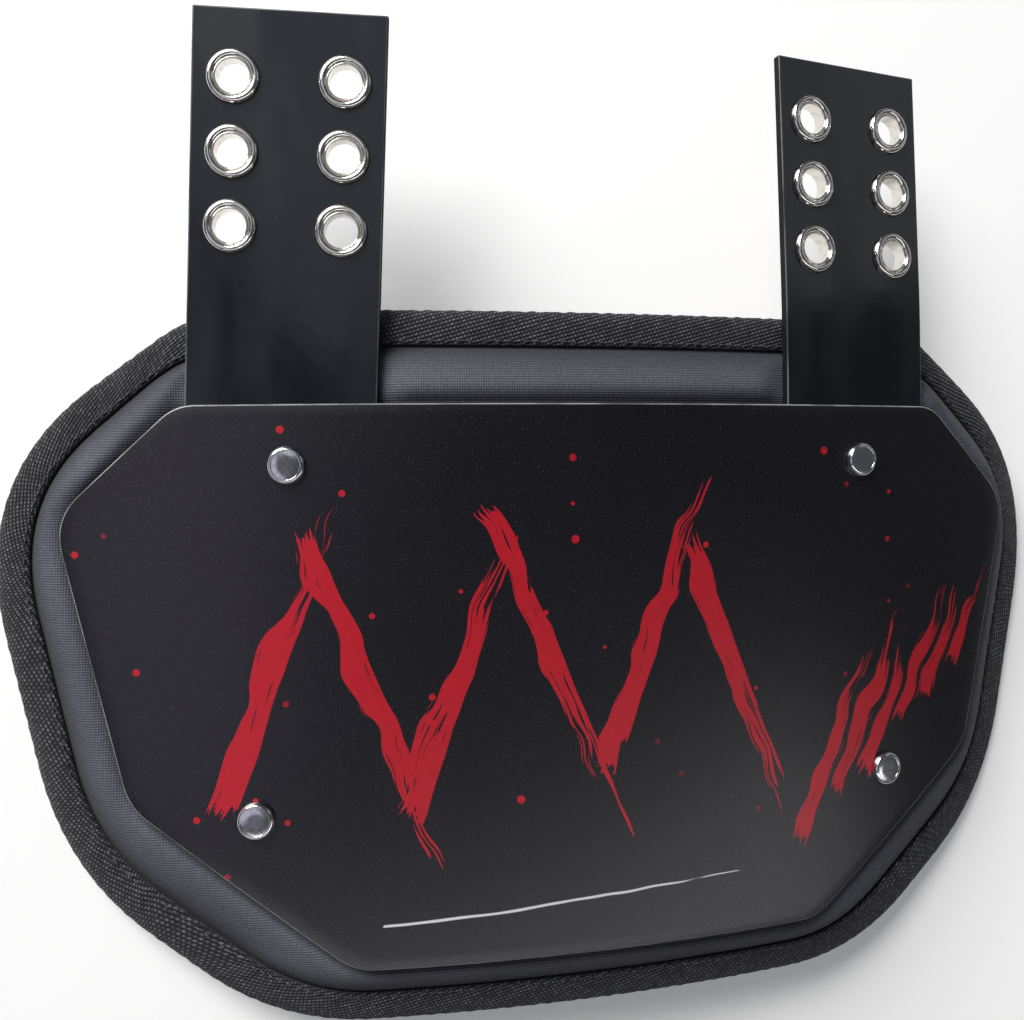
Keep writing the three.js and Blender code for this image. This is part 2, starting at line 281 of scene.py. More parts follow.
def noise(tree, vector, scale, detail=1.0, roughness=0.5, dimensions="2D"):
    """Soft random blotches from 0 to 1."""
    node = put(tree, "ShaderNodeTexNoise", noise_dimensions=dimensions)
    values = {"Vector": vector, "Scale": scale, "Detail": detail, "Roughness": roughness}
    return fill_named(tree, node, values).outputs["Fac"]


def new_group(name, inputs, outputs):
    """A shader node group, with its input and output sockets."""
    tree = bpy.data.node_groups.new(name, "ShaderNodeTree")
    for label, value in inputs.items():
        kind = "NodeSocketFloat" if isinstance(value, float) else "NodeSocketVector"
        socket = tree.interface.new_socket(label, in_out="INPUT", socket_type=kind)
        socket.default_value = value
    for label in outputs:
        tree.interface.new_socket(label, in_out="OUTPUT", socket_type="NodeSocketFloat")
    return tree, put(tree, "NodeGroupInput").outputs, put(tree, "NodeGroupOutput").inputs


def use_group(tree, group, values):
    """Places a group in a tree, with its own values."""
    return fill_named(tree, put(tree, "ShaderNodeGroup", node_tree=group), values).outputs


def new_material(name):
    """A material, its node tree and its shader."""
    material = bpy.data.materials.new(name)
    material.use_nodes = True
    return material, material.node_tree, material.node_tree.nodes["Principled BSDF"]


def set_plain(shader, values):
    """Sets what is the same all over a surface on the shader itself."""
    for label, value in values.items():
        shader.inputs[label].default_value = value


def drawing_mm(tree):
    """The flat drawing's coordinates of a surface point, in millimetres."""
    place = put(tree, "ShaderNodeUVMap", uv_map="drawing")
    return scaled(tree, place.outputs[0], 1 / MM)


def point_number(tree, name):
    """The number of that name on the points of a mesh."""
    return put(tree, "ShaderNodeAttribute", attribute_name=name).outputs["Fac"]


def coat(tree, shader, colour, roughness, height, depth_mm):
    """Connects a finish: its colour, its roughness, and a relief whose height goes from 0 to a depth."""
    relief = put(tree, "ShaderNodeBump")
    fill_named(tree, relief, {"Strength": 1.0, "Distance": depth_mm * MM, "Height": height})
    values = {"Base Color": colour, "Roughness": roughness, "Normal": relief.outputs[0]}
    fill_named(tree, shader, values)


print("node helpers are ready")

# %% [markdown]
# The floor is a plain pale sheet, and the light is soft studio light. A black object shows its form mostly by
# what it mirrors: one large soft light above left draws the bright line along the shell's upper edge, one
# from below makes the lower face paler, and the sky stays dim so that the face stays black. Only the large
# light falls on cloth and floor. The others are seen in gloss alone, like the white cards that a photographer
# hangs round a shiny object. The floor glows a little, so it stays white, but it throws no light up onto the
# cloth, which keeps the creases deep.

# %% Light the stage
FLOOR_SIZE = 6.0
FLOOR_DROP = 0.0003
FLOOR_GLOW = 0.22
CLOTH_LIGHT = "key"
SoftLight = namedtuple("SoftLight", "name place wide high watts colour")
SOFT_LIGHTS = [
    SoftLight("key", (-1.65, 1.95, 1.6), 1.8, 1.8, 132, (1.0, 0.985, 0.97)),
    SoftLight("left", (-0.95, -0.29, 1.19), 0.8, 0.8, 1.2, (0.86, 0.78, 1.0)),
    SoftLight("below", (0.22, -1.18, 1.34), 3.0, 0.46, 8.4, (1.0, 0.98, 1.0)),
    SoftLight("top", (-0.5, 0.55, 1.55), 0.8, 0.8, 1.3, (0.8, 0.9, 1.0)),
    SoftLight("right", (1.2, 0.62, 0.95), 0.6, 0.6, 0.6, (0.85, 0.92, 1.0)),
]

floor_mesh = bpy.data.meshes.new("floor")
half = FLOOR_SIZE / 2
floor_corners = [(-half, -half, 0), (half, -half, 0), (half, half, 0), (-half, half, 0)]
floor_mesh.from_pydata(floor_corners, [], [(0, 1, 2, 3)])
floor = bpy.data.objects.new("floor", floor_mesh)
floor.location.z = -FLOOR_DROP
bpy.context.scene.collection.objects.link(floor)
pale, _, pale_shader = new_material("pale_floor")
set_plain(pale_shader, {"Base Color": (0.97, 0.97, 0.97, 1), "Roughness": 0.9, "Specular IOR Level": 0.1})
set_plain(pale_shader, {"Emission Color": (0.98, 0.99, 1.0, 1), "Emission Strength": FLOOR_GLOW})
floor_mesh.materials.append(pale)
floor.visible_diffuse = False

for soft in SOFT_LIGHTS:
    light = bpy.data.objects.new(soft.name, bpy.data.lights.new(soft.name, "AREA"))
    light.data.shape = "RECTANGLE"
    light.data.size = soft.wide
    light.data.size_y = soft.high
    light.data.energy = soft.watts
    light.data.color = soft.colour
    light.location = soft.place
    light.visible_diffuse = soft.name == CLOTH_LIGHT
    light.rotation_euler = (-Vector(soft.place)).to_track_quat("-Z", "Y").to_euler()
    bpy.context.scene.collection.objects.link(light)

SKY = (0.075, 0.078, 0.085, 1)
world = bpy.data.worlds.new("studio")
world.use_nodes = True
world.node_tree.nodes["Background"].inputs["Color"].default_value = SKY
bpy.context.scene.world = world
bpy.context.scene.view_settings.view_transform = "Standard"
print("lit by", len(SOFT_LIGHTS), "soft lights")

# %% [markdown]
# Most pieces are skins through a row of closed lines, like a barrel through its hoops. One helper makes such
# a mesh from an array of points, closes its ends, and writes the flat drawing's coordinates beside it, so
# that a print or a weave can follow the piece in real millimetres. Smaller ones write that drawing, write one
# number for every point, and sort a row of lines and depths into arrays.

# %% Make meshes from lines


def add_object(name, mesh):
    """Puts a mesh into the scene as an object."""
    thing = bpy.data.objects.new(name, mesh)
    bpy.context.scene.collection.objects.link(thing)
    return thing


def finish_mesh(mesh, sharp_degrees=35):
    """Shades a mesh smoothly, apart from its sharp edges."""
    mesh.validate()
    mesh.shade_smooth()
    mesh.set_sharp_from_angle(angle=math.radians(sharp_degrees))


def write_drawing(mesh, places):
    """Writes the flat drawing's coordinates, in millimetres, for every face corner."""
    layer = mesh.uv_layers.new(name="drawing")
    layer.data.foreach_set("uv", (np.array(places) * MM).astype(np.float32).ravel())


def write_numbers(piece, name, values):
    """Writes a number of that name for every point of a piece."""
    piece.data.attributes.new(name, "FLOAT", "POINT").data.foreach_set("value", values)


def skin(name, rings, drawing, is_closed=False, sharp_degrees=35):
    """A skin through rings of points: rings[j][k] in metres, drawing[j][k] in millimetres."""
    count, around = rings.shape[:2]
    bands = count if is_closed else count - 1
    faces, places = [], []
    for j in range(bands):
        near, far = j * around, (j + 1) % count * around
        for k in range(around):
            following = (k + 1) % around
            faces.append((near + k, far + k, far + following, near + following))
            places.extend([drawing[j][k], drawing[j + 1][k], drawing[j + 1][k + 1], drawing[j][k + 1]])
    if not is_closed:
        last = (count - 1) * around
        for k in range(around // 2 - 1):
            strip = (k, k + 1, around - 2 - k, around - 1 - k)
            faces.append(strip)
            places.extend(drawing[0][i] for i in strip)
            faces.append(tuple(last + i for i in reversed(strip)))
            places.extend(drawing[-1][i] for i in reversed(strip))
    mesh = bpy.data.meshes.new(name)
    mesh.from_pydata(rings.reshape(-1, 3), [], faces)
    write_drawing(mesh, places)
    finish_mesh(mesh, sharp_degrees)
    return add_object(name, mesh)


def wrapped(lines):
    """Drawing coordinates with the first column repeated at the end."""
    return np.concatenate([lines, lines[:, :1]], axis=1)


def split(rings):
    """The lines and the depths of rings, as arrays."""
    return np.array([line for line, _ in rings]), np.array([depth for _, depth in rings])[:, None]


def dress(piece, material, slot, *nodes):
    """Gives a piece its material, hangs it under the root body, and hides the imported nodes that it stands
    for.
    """
    piece.data.materials.clear()
    piece.data.materials.append(material)
    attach(piece, "root")
    if nodes:
        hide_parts(*nodes)
    print("made", piece.name, "with", len(piece.data.polygons), "faces")


# %% [markdown]
# Some effects serve more than one material, so each is a node group that is built once.
# Threads in rows make both the knit and the twill: the knit's rows zigzag a little, as loops do, and the
# twill's rows run at a slant. Fine grain makes moulded plastic look real from close by, with a rare bright
# speck. Edges are paler, partly from wear and partly as a painted highlight, and the paleness is never even.

# %% Build the shared effects
LOOP_RISE = 0.6
SPECK_LEAST = 0.08
SPECK_SPREAD = 0.2
SPECK_CORE = 0.02
PATCHY_LEAST = 0.35
threads, given, made = new_group(
    "thread_rows",
    {
        "Drawing": (0.0, 0.0, 0.0),
        "Row Pitch": 1.0,
        "Thread Pitch": 1.0,
        "Slant": 0.0,
        "Zigzag": 0.0,
        "Stagger": 0.0,
    },
    ["Height", "Thread"],
)
x, y, _ = parts_of(threads, given["Drawing"])
column = calc(threads, "DIVIDE", x, given["Thread Pitch"])
swing = calc(threads, "MULTIPLY", calc(threads, "PINGPONG", column, 0.5), given["Zigzag"])
slanted = calc(threads, "MULTIPLY_ADD", x, given["Slant"], y)
row_place = calc(threads, "DIVIDE", calc(threads, "ADD", slanted, swing), given["Row Pitch"])
row = calc(threads, "FLOOR", row_place)
ridge = calc(threads, "SINE", calc(threads, "MULTIPLY", calc(threads, "FRACT", row_place), math.pi))
shifted = calc(threads, "MULTIPLY_ADD", row, given["Stagger"], column)
swell = calc(threads, "SINE", calc(threads, "MULTIPLY", calc(threads, "FRACT", shifted), math.pi))
loop_height = calc(threads, "MULTIPLY_ADD", swell, LOOP_RISE, 1 - LOOP_RISE)
feed(threads, made["Height"], calc(threads, "MULTIPLY", ridge, loop_height))
chance = put(threads, "ShaderNodeTexWhiteNoise", noise_dimensions="2D")
feed(threads, chance.inputs["Vector"], joined(threads, row, calc(threads, "FLOOR", shifted)))
feed(threads, made["Thread"], chance.outputs["Value"])

grain, given, made = new_group(
    "fine_grain",
    {"Drawing": (0.0, 0.0, 0.0), "Size": 0.5, "Speck Size": 1.5, "Speck Share": 0.05},
    ["Height", "Speck"],
)
fine = calc(grain, "DIVIDE", 1.0, given["Size"])
feed(grain, made["Height"], noise(grain, given["Drawing"], fine, 2.0))
cells = put(grain, "ShaderNodeTexVoronoi", voronoi_dimensions="2D")
feed(grain, cells.inputs["Vector"], given["Drawing"])
feed(grain, cells.inputs["Scale"], calc(grain, "DIVIDE", 1.0, given["Speck Size"]))
lucky, width, _ = parts_of(grain, cells.outputs["Color"])
chosen = calc(grain, "LESS_THAN", lucky, given["Speck Share"])
reach = calc(grain, "MULTIPLY_ADD", width, SPECK_SPREAD, SPECK_LEAST)
spot = eased(grain, cells.outputs["Distance"], reach, SPECK_CORE)
feed(grain, made["Speck"], calc(grain, "MULTIPLY", chosen, spot))

# Pale edges: partly wear and partly a painted highlight, broken into uneven patches.
wear_and_shine, given, made = new_group(
    "worn_edge",
    {"Drawing": (0.0, 0.0, 0.0), "Edge": 0.0, "Length": 12.0},
    ["Wear"],
)
patches = noise(wear_and_shine, given["Drawing"], calc(wear_and_shine, "DIVIDE", 1.0, given["Length"]), 2.0, 0.7)
uneven = eased(wear_and_shine, patches, 0.3, 0.62, PATCHY_LEAST, 1.0)
feed(wear_and_shine, made["Wear"], calc(wear_and_shine, "MULTIPLY", given["Edge"], uneven))
print("shared effects:", [group.name for group in bpy.data.node_groups])

# %% [markdown]
# The shell is a sheet of hard plastic about 2.5 mm thick, cut to its outline, bent, and broken by hand along
# its edge, so that a fine round catches the light. Rings that shrink towards the middle give a smooth bend,
# and a few close rings at the edge round it. An extra number on every point says where the edge is, for the
# pale edge: wear together with a painted highlight.

# %% Model the shell
PLATE_THICKNESS = 2.5
PLATE_ROUND = 0.5
FACE_RINGS = 26
SMALLEST_RING = 0.02
ROUND_STEPS = 5

quarter = np.linspace(0, math.pi / 2, ROUND_STEPS)
ring_shares = np.linspace(SMALLEST_RING, 1, FACE_RINGS)
face_lines = [inset(plate_line, PLATE_ROUND) * share for share in ring_shares]
front = [(line, 0.0) for line in face_lines]
upper_edge = [
    (inset(plate_line, PLATE_ROUND * (1 - math.sin(a))), PLATE_ROUND * (1 - math.cos(a))) for a in quarter[1:]
]
lower_edge = [(line, PLATE_THICKNESS - depth) for line, depth in reversed(upper_edge)]
shell_rings = front + upper_edge + lower_edge + [(line, PLATE_THICKNESS) for line in reversed(face_lines)]
shell_lines, shell_depths = split(shell_rings)
shell_points = laid(bent(shell_lines[:, :, 0], shell_lines[:, :, 1], shell_depths))
shell = skin("printed_shell", shell_points, wrapped(shell_lines))

edge_share = np.zeros(len(shell_rings))
edge_share[FACE_RINGS:FACE_RINGS + 2 * len(upper_edge)] = 1.0
write_numbers(shell, "edge", np.repeat(edge_share, len(plate_line)))
print("shell rings", len(shell_rings), "of", len(plate_line), "points")

# %% [markdown]
# The print on the shell is drawn with a dry brush: strokes that start full and end in bristles. Many strokes
# run the same way side by side, so one node group draws a whole row of them: it cuts the drawing into lanes,
# draws one stroke in each lane, and lets chance change where each starts and ends. The print stays sharp from
# close by, which a painted picture would not, and a row costs no more than a single stroke.

# %% Build a row of brush strokes
WAVER_SCALE = 0.045
WAVER_WIDTHS = 1.3
TIP_STARTS, TIP_ENDS = 0.5, -0.05
TIP_NARROWING = 0.25
STREAKS_ALONG, STREAKS_ACROSS = 0.05, 1.3
SIDE_JAG, START_JAG, END_JAG = 0.5, 2.0, 6.0
SIDE_BLUR, START_BLUR, END_BLUR = 0.22, 0.4, 0.5
DRY_GAPS = 0.34
GAP_FROM, GAP_TO = 0.24, 0.3
brush, given, made = new_group(
    "brush_row",
    {
        "Drawing": (0.0, 0.0, 0.0),
        "Way": (1.0, 0.0, 0.0),
        "First": 0.0,
        "Lane": 20.0,
        "Count": 1.0,
        "Start": 0.0,
        "Start Step": 0.0,
        "Length": 50.0,
        "Length Step": 0.0,
        "Width": 6.0,
        "Dryness": 0.5,
        "Chance": 0.0,
    },
    ["Mark"],
)
along = vector_calc(brush, "DOT_PRODUCT", given["Drawing"], given["Way"])
aside = vector_calc(brush, "CROSS_PRODUCT", given["Way"], (0.0, 0.0, 1.0))
straight = vector_calc(brush, "DOT_PRODUCT", given["Drawing"], aside)
waver = calc(brush, "SUBTRACT", noise(brush, given["Drawing"], WAVER_SCALE), 0.5)
most_waver = calc(brush, "MULTIPLY", given["Width"], WAVER_WIDTHS)
across = calc(brush, "MULTIPLY_ADD", waver, most_waver, straight)
past_first = calc(brush, "SUBTRACT", across, given["First"])
lane_place = calc(brush, "ADD", calc(brush, "DIVIDE", past_first, given["Lane"]), 0.5)
lane = calc(brush, "FLOOR", lane_place)
in_lane = calc(brush, "SUBTRACT", calc(brush, "SUBTRACT", lane_place, lane), 0.5)
off_middle = calc(brush, "ABSOLUTE", calc(brush, "MULTIPLY", in_lane, given["Lane"]))
last_half = calc(brush, "MULTIPLY_ADD", given["Count"], 0.5, -0.5)
is_lane = calc(brush, "COMPARE", lane, last_half, calc(brush, "ADD", last_half, 0.25))

luck = put(brush, "ShaderNodeTexWhiteNoise", noise_dimensions="2D")
feed(brush, luck.inputs["Vector"], joined(brush, lane, given["First"]))
start_luck, end_luck, _ = parts_of(brush, luck.outputs["Color"])
usual_start = calc(brush, "MULTIPLY_ADD", given["Start Step"], lane, given["Start"])
usual_length = calc(brush, "MULTIPLY_ADD", given["Length Step"], lane, given["Length"])
start = calc(brush, "MULTIPLY_ADD", calc(brush, "SUBTRACT", start_luck, 0.5), given["Chance"], usual_start)
length = calc(brush, "MULTIPLY_ADD", calc(brush, "SUBTRACT", end_luck, 0.5), given["Chance"], usual_length)
gone = calc(brush, "SUBTRACT", along, start)
rest = calc(brush, "SUBTRACT", length, gone)
tip = eased(brush, calc(brush, "DIVIDE", rest, length), TIP_STARTS, TIP_ENDS)

streak_length = calc(brush, "MULTIPLY", along, STREAKS_ALONG)
streaks = noise(brush, joined(brush, streak_length, calc(brush, "MULTIPLY", across, STREAKS_ACROSS)), 1.0)
jag = calc(brush, "MULTIPLY", calc(brush, "SUBTRACT", streaks, 0.5), given["Width"])
narrowed = calc(brush, "MULTIPLY_ADD", tip, -TIP_NARROWING, 0.5)
half_width = calc(brush, "MULTIPLY", given["Width"], narrowed)
inside = calc(brush, "SUBTRACT", half_width, off_middle)
body = eased(brush, calc(brush, "MULTIPLY_ADD", jag, SIDE_JAG, inside), 0.0, SIDE_BLUR)
begun = eased(brush, calc(brush, "MULTIPLY_ADD", jag, START_JAG, gone), 0.0, START_BLUR)
ended = eased(brush, calc(brush, "MULTIPLY_ADD", jag, END_JAG, rest), 0.0, END_BLUR)
dry = calc(brush, "MULTIPLY", tip, given["Dryness"])
covered = eased(brush, calc(brush, "MULTIPLY_ADD", dry, -DRY_GAPS, streaks), GAP_FROM, GAP_TO)
filled = calc(brush, "MULTIPLY", body, covered)
stroke = calc(brush, "MULTIPLY", filled, calc(brush, "MULTIPLY", begun, ended))
feed(brush, made["Mark"], calc(brush, "MULTIPLY", stroke, is_lane))
print("a row of strokes has", len(brush.nodes), "nodes")

# %% [markdown]
# The design is a jagged ridge in red, a fan of slanting dashes beside it, a few splashes, and one thin white
# scratch below. The ridge's strokes are gone over again with a thin brush, as a quick hand would do it.
# Under the print the plastic is a satin black: nearly even, with a fine grain and many faint specks.

# %% Finish the shell
StrokeRow = namedtuple("StrokeRow", "degrees middle step count length length_step width dryness chance")
RED_ROWS = [
    StrokeRow(69, (-104, 2), (59, 3), 3, 98, -6, 7.0, 0.8, 24),
    StrokeRow(-69, (-75, 4), (59, 2), 3, 98, -8, 6.5, 0.8, 24),
    StrokeRow(70, (-99, 6), (59, 3), 3, 92, -6, 2.2, 0.9, 34),
    StrokeRow(-68, (-70, 0), (59, 2), 3, 92, -8, 2.0, 0.9, 34),
    StrokeRow(65, (84, -30), (12.5, 8), 6, 62, -7, 6.0, 0.9, 8),
]
SCRATCH = StrokeRow(3.5, (-11, -70), (0, -30), 1, 118, 0, 1.1, 0.3, 0)


def row_values(row):
    """The values that place a row of strokes on the drawing."""
    turn = math.radians(row.degrees)
    way = np.array([math.cos(turn), math.sin(turn)])
    aside_way = np.array([way[1], -way[0]])
    return {
        "Way": (*way, 0),
        "First": row.middle @ aside_way,
        "Lane": row.step @ aside_way,
        "Count": row.count,
        "Start": row.middle @ way - row.length / 2,
        "Start Step": row.step @ way - row.length_step / 2,
        "Length": row.length,
        "Length Step": row.length_step,
        "Width": row.width,
        "Dryness": row.dryness,
        "Chance": row.chance,
    }


printed, tree, shader = new_material("printed_shell")
drawing = drawing_mm(tree)
ink = 0.0
for row in RED_ROWS:
    painted = use_group(tree, brush, {"Drawing": drawing, **row_values(row)})["Mark"]
    ink = calc(tree, "MAXIMUM", ink, painted)
scratched = use_group(tree, brush, {"Drawing": drawing, **row_values(SCRATCH)})["Mark"]

splash = use_group(tree, grain, {"Drawing": drawing, "Size": 0.5, "Speck Size": 9.0, "Speck Share": 0.16})
near_ridge = eased(tree, noise(tree, drawing, 0.02), 0.5, 0.56)
splashed = calc(tree, "MULTIPLY", eased(tree, splash["Speck"], 0.45, 0.6), near_ridge)
ink = calc(tree, "MAXIMUM", ink, splashed)
surface = use_group(tree, grain, {"Drawing": drawing, "Size": 0.35, "Speck Size": 1.3, "Speck Share": 0.3})
edge = point_number(tree, "edge")
# The shell's pale edge: wear together with a painted highlight.
edge_wear_and_shine = use_group(tree, wear_and_shine, {"Drawing": drawing, "Edge": edge, "Length": 18.0})["Wear"]
clouds = noise(tree, drawing, 0.02, 2.0)
black = tinted(tree, clouds, (0.0035, 0.003, 0.0055, 1), (0.0065, 0.0055, 0.0105, 1))
black = tinted(tree, surface["Speck"], black, (0.045, 0.043, 0.052, 1))
red = tinted(tree, noise(tree, drawing, 0.4), (0.48, 0.004, 0.015, 1), (0.57, 0.006, 0.022, 1))
colour = tinted(tree, ink, black, red)
colour = tinted(tree, scratched, colour, (0.8, 0.8, 0.82, 1))
colour = tinted(tree, edge_wear_and_shine, colour, (0.32, 0.32, 0.34, 1))
satin = eased(tree, surface["Height"], 0.3, 0.7, 0.25, 0.33)
coat(tree, shader, colour, calc(tree, "MULTIPLY_ADD", ink, 0.05, satin), surface["Height"], 0.03)
set_plain(shader, {"IOR": 1.58})
dress(shell, printed, "plate_plastic", "face_plate")
print("the print has", sum(row.count for row in RED_ROWS), "red strokes")

# %% [markdown]
# The straps are strips of stiff, glossy plastic, clamped between the shell and the pad, with six punched
# holes each. Cutting holes with a boolean leaves long thin faces that spoil a glossy surface. Here the
# strip is a grid with a square window round each hole, and rings of faces lead from the window's border to
# the hole.

# %% Model the straps
STRAP_WIDTH = 58.0
STRAP_THICKNESS = 3.0
STRAP_CENTRE = 98.0
STRAP_BOTTOM = 48.0
STRAP_TOP = 204.4
STRAP_CREASES = [90.0, 122.0]
CREASE_REACH = 10.0
Strap = namedtuple("Strap", "name side lean crease")
STRAPS = [Strap("left", -1, 2.7, -0.5), Strap("right", 1, 0.4, 1.65)]
GAP = 0.3
STRAP_DEPTH = PLATE_THICKNESS + GAP + STRAP_WIDTH**2 / (8 * FACE_RADIUS)
PLATE_TOP = PLATE_CORNERS[0].h
EYELET_COLUMNS = [-16.6, 16.6]
EYELET_ROWS = {"bottom": 140.0, "middle": 162.0, "top": 184.0}
HOLE_RADIUS = 6.0
WINDOW = 8.75
WINDOW_STEPS = 8
GRID_STEP = 3.0
STRAP_BEVEL = 0.5
BEVEL_STEPS = 3
BEVEL_ANGLE = math.radians(50)


def strap_bend(strap, h):
    """How far a strap bends back at a height, softly at each crease."""
    bend = np.zeros_like(h)
    for crease in STRAP_CREASES:
        past = h - crease
        soft = (past + CREASE_REACH) ** 2 / (4 * CREASE_REACH)
        bend += np.where(past > CREASE_REACH, past, np.where(past < -CREASE_REACH, 0, soft))
    return bend * math.tan(math.radians(strap.crease))


def strap_axes(strap):
    """The middle of a strap where it leaves the shell, its way to the right and its way out of the face."""
    centre = strap.side * STRAP_CENTRE
    way_out = outward(centre)
    return bent(centre, PLATE_TOP, 0), np.array([way_out[2], 0, -way_out[0]]), way_out


def strap_point(strap, a, h, t):
    """A point of a strap: a across to the right, h up the strap and t behind its face."""
    a, h = np.asarray(a, float), np.asarray(h, float)
    middle, right_way, way_out = strap_axes(strap)
    lean = math.radians(strap.lean)
    rise = h - PLATE_TOP
    over = a * math.cos(lean) + rise * math.sin(lean)
    climb = rise * math.cos(lean) - a * math.sin(lean)
    back = STRAP_DEPTH + t + strap_bend(strap, h)
    on_face = middle + over[..., None] * right_way + climb[..., None] * np.array([0, 1, 0])
    return on_face - back[..., None] * way_out


def grid_lines(low, high, windows):
    """Grid lines from low to high, with even steps inside each window and about the grid's step elsewhere."""
    stops = sorted([low, high, *(w - WINDOW for w in windows), *(w + WINDOW for w in windows)])
    lines = [low]
    for start, end in zip(stops, stops[1:]):
        is_window = any(abs((start + end) / 2 - w) < 0.01 for w in windows)
        steps = WINDOW_STEPS if is_window else max(2, round((end - start) / GRID_STEP))
        lines.extend(np.linspace(start, end, steps + 1)[1:])
    return np.array(lines)


across_lines = grid_lines(-STRAP_WIDTH / 2, STRAP_WIDTH / 2, EYELET_COLUMNS)
up_lines = grid_lines(STRAP_BOTTOM, STRAP_TOP, EYELET_ROWS.values())


def strap_sheet():
    """The points and faces of a flat strip with round holes."""
    points = [(a, h) for h in up_lines for a in across_lines]
    columns = len(across_lines)
    faces = []
    windows = [(a, h) for a in EYELET_COLUMNS for h in EYELET_ROWS.values()]
    for j in range(len(up_lines) - 1):
        for i in range(columns - 1):
            a = (across_lines[i] + across_lines[i + 1]) / 2
            h = (up_lines[j] + up_lines[j + 1]) / 2
            if not any(abs(a - wa) < WINDOW and abs(h - wh) < WINDOW for wa, wh in windows):
                low = j * columns + i
                faces.append((low, low + 1, low + columns + 1, low + columns))
    for wa, wh in windows:
        i = int(np.argmin(np.abs(across_lines - (wa - WINDOW))))
        j = int(np.argmin(np.abs(up_lines - (wh - WINDOW))))
        steps = range(WINDOW_STEPS)
        border = [(i + k, j) for k in steps]
        border += [(i + WINDOW_STEPS, j + k) for k in steps]
        border += [(i + WINDOW_STEPS - k, j + WINDOW_STEPS) for k in steps]
        border += [(i, j + WINDOW_STEPS - k) for k in steps]
        outer = [row_index * columns + column_index for column_index, row_index in border]
        for part in (0.5, 1.0):
            inner = []
            for column_index, row_index in border:
                corner = np.array([across_lines[column_index] - wa, up_lines[row_index] - wh])
                rim = corner / np.linalg.norm(corner) * HOLE_RADIUS
                spot_a, spot_h = corner + (rim - corner) * part
                inner.append(len(points))
                points.append((wa + spot_a, wh + spot_h))
            for k in range(len(outer)):
                following = (k + 1) % len(outer)
                faces.append((outer[k], outer[following], inner[following], inner[k]))
            outer = inner
    return np.array(points), faces


def make_strap(strap):
    """A strap as a bent sheet that a solidify and a bevel modifier give its body."""
    flat, faces = strap_sheet()
    mesh = bpy.data.meshes.new(f"strap_sheet_{strap.name}")
    mesh.from_pydata(laid(strap_point(strap, flat[:, 0], flat[:, 1], 0.0)), [], faces)
    write_drawing(mesh, [flat[index] for face in faces for index in face])
    mesh.shade_smooth()
    piece = add_object(f"strap_sheet_{strap.name}", mesh)
    body = piece.modifiers.new("body", "SOLIDIFY")
    body.thickness = STRAP_THICKNESS * MM
    body.offset = -1.0
    body.material_offset_rim = 1
    rounding = piece.modifiers.new("rounding", "BEVEL")
    rounding.width = STRAP_BEVEL * MM
    rounding.segments = BEVEL_STEPS
    rounding.limit_method = "ANGLE"
    rounding.angle_limit = BEVEL_ANGLE
    rounding.harden_normals = True
    return piece


strap_pieces = {strap.name: make_strap(strap) for strap in STRAPS}
print("a strap sheet has", len(strap_pieces["left"].data.polygons), "faces before its body is added")

# %% [markdown]
# The strap plastic is polished and nearly black, with a blue cast. What makes it look real is what it
# mirrors, so its roughness is low but not even: faint smears, a few fine specks, and pale lines along the
# edges of the face, partly wear and partly a painted highlight. The sides were cut and never polished, so
# they get a matt material of their own.

# %% Finish the straps
PALE_EDGE_START = 0.7
PALE_EDGE_FULL = 0.2
glossy, tree, shader = new_material("glossy_strap")
drawing = drawing_mm(tree)
a, h, _ = parts_of(tree, drawing)
strap_half = STRAP_WIDTH / 2
# Pale lines along the face's edges: wear together with a painted highlight.
side_edge = eased(tree, calc(tree, "ABSOLUTE", a), strap_half - PALE_EDGE_START, strap_half - PALE_EDGE_FULL)
top_edge = eased(tree, h, STRAP_TOP - PALE_EDGE_START, STRAP_TOP - PALE_EDGE_FULL)
cut_edge = calc(tree, "MAXIMUM", side_edge, top_edge)
edge_wear_and_shine = use_group(tree, wear_and_shine, {"Drawing": drawing, "Edge": cut_edge, "Length": 25.0})["Wear"]
surface = use_group(tree, grain, {"Drawing": drawing, "Size": 6.0, "Speck Size": 1.4, "Speck Share": 0.006})
smear = noise(tree, vector_calc(tree, "MULTIPLY", drawing, (1.0, 0.35, 1.0)), 0.05, 2.0, 0.6)
black = tinted(tree, smear, (0.0045, 0.0056, 0.008, 1), (0.0095, 0.0115, 0.0155, 1))
black = tinted(tree, surface["Speck"], black, (0.05, 0.055, 0.06, 1))
colour = tinted(tree, edge_wear_and_shine, black, (0.16, 0.17, 0.19, 1))
gloss = eased(tree, smear, 0.3, 0.75, 0.13, 0.26)
coat(tree, shader, colour, gloss, surface["Height"], 0.03)
set_plain(shader, {"IOR": 1.5})

cut_side, tree, shader = new_material("cut_strap_side")
saw_marks = noise(tree, drawing_mm(tree), 4.0, 2.0)
colour = tinted(tree, saw_marks, (0.004, 0.0045, 0.006, 1), (0.012, 0.013, 0.016, 1))
coat(tree, shader, colour, eased(tree, saw_marks, 0.3, 0.7, 0.5, 0.7), saw_marks, 0.05)
set_plain(shader, {"Specular IOR Level": 0.15})
for strap in STRAPS:
    dress(strap_pieces[strap.name], glossy, "strap_plastic", f"strap_{strap.name}")
    strap_pieces[strap.name].data.materials.append(cut_side)
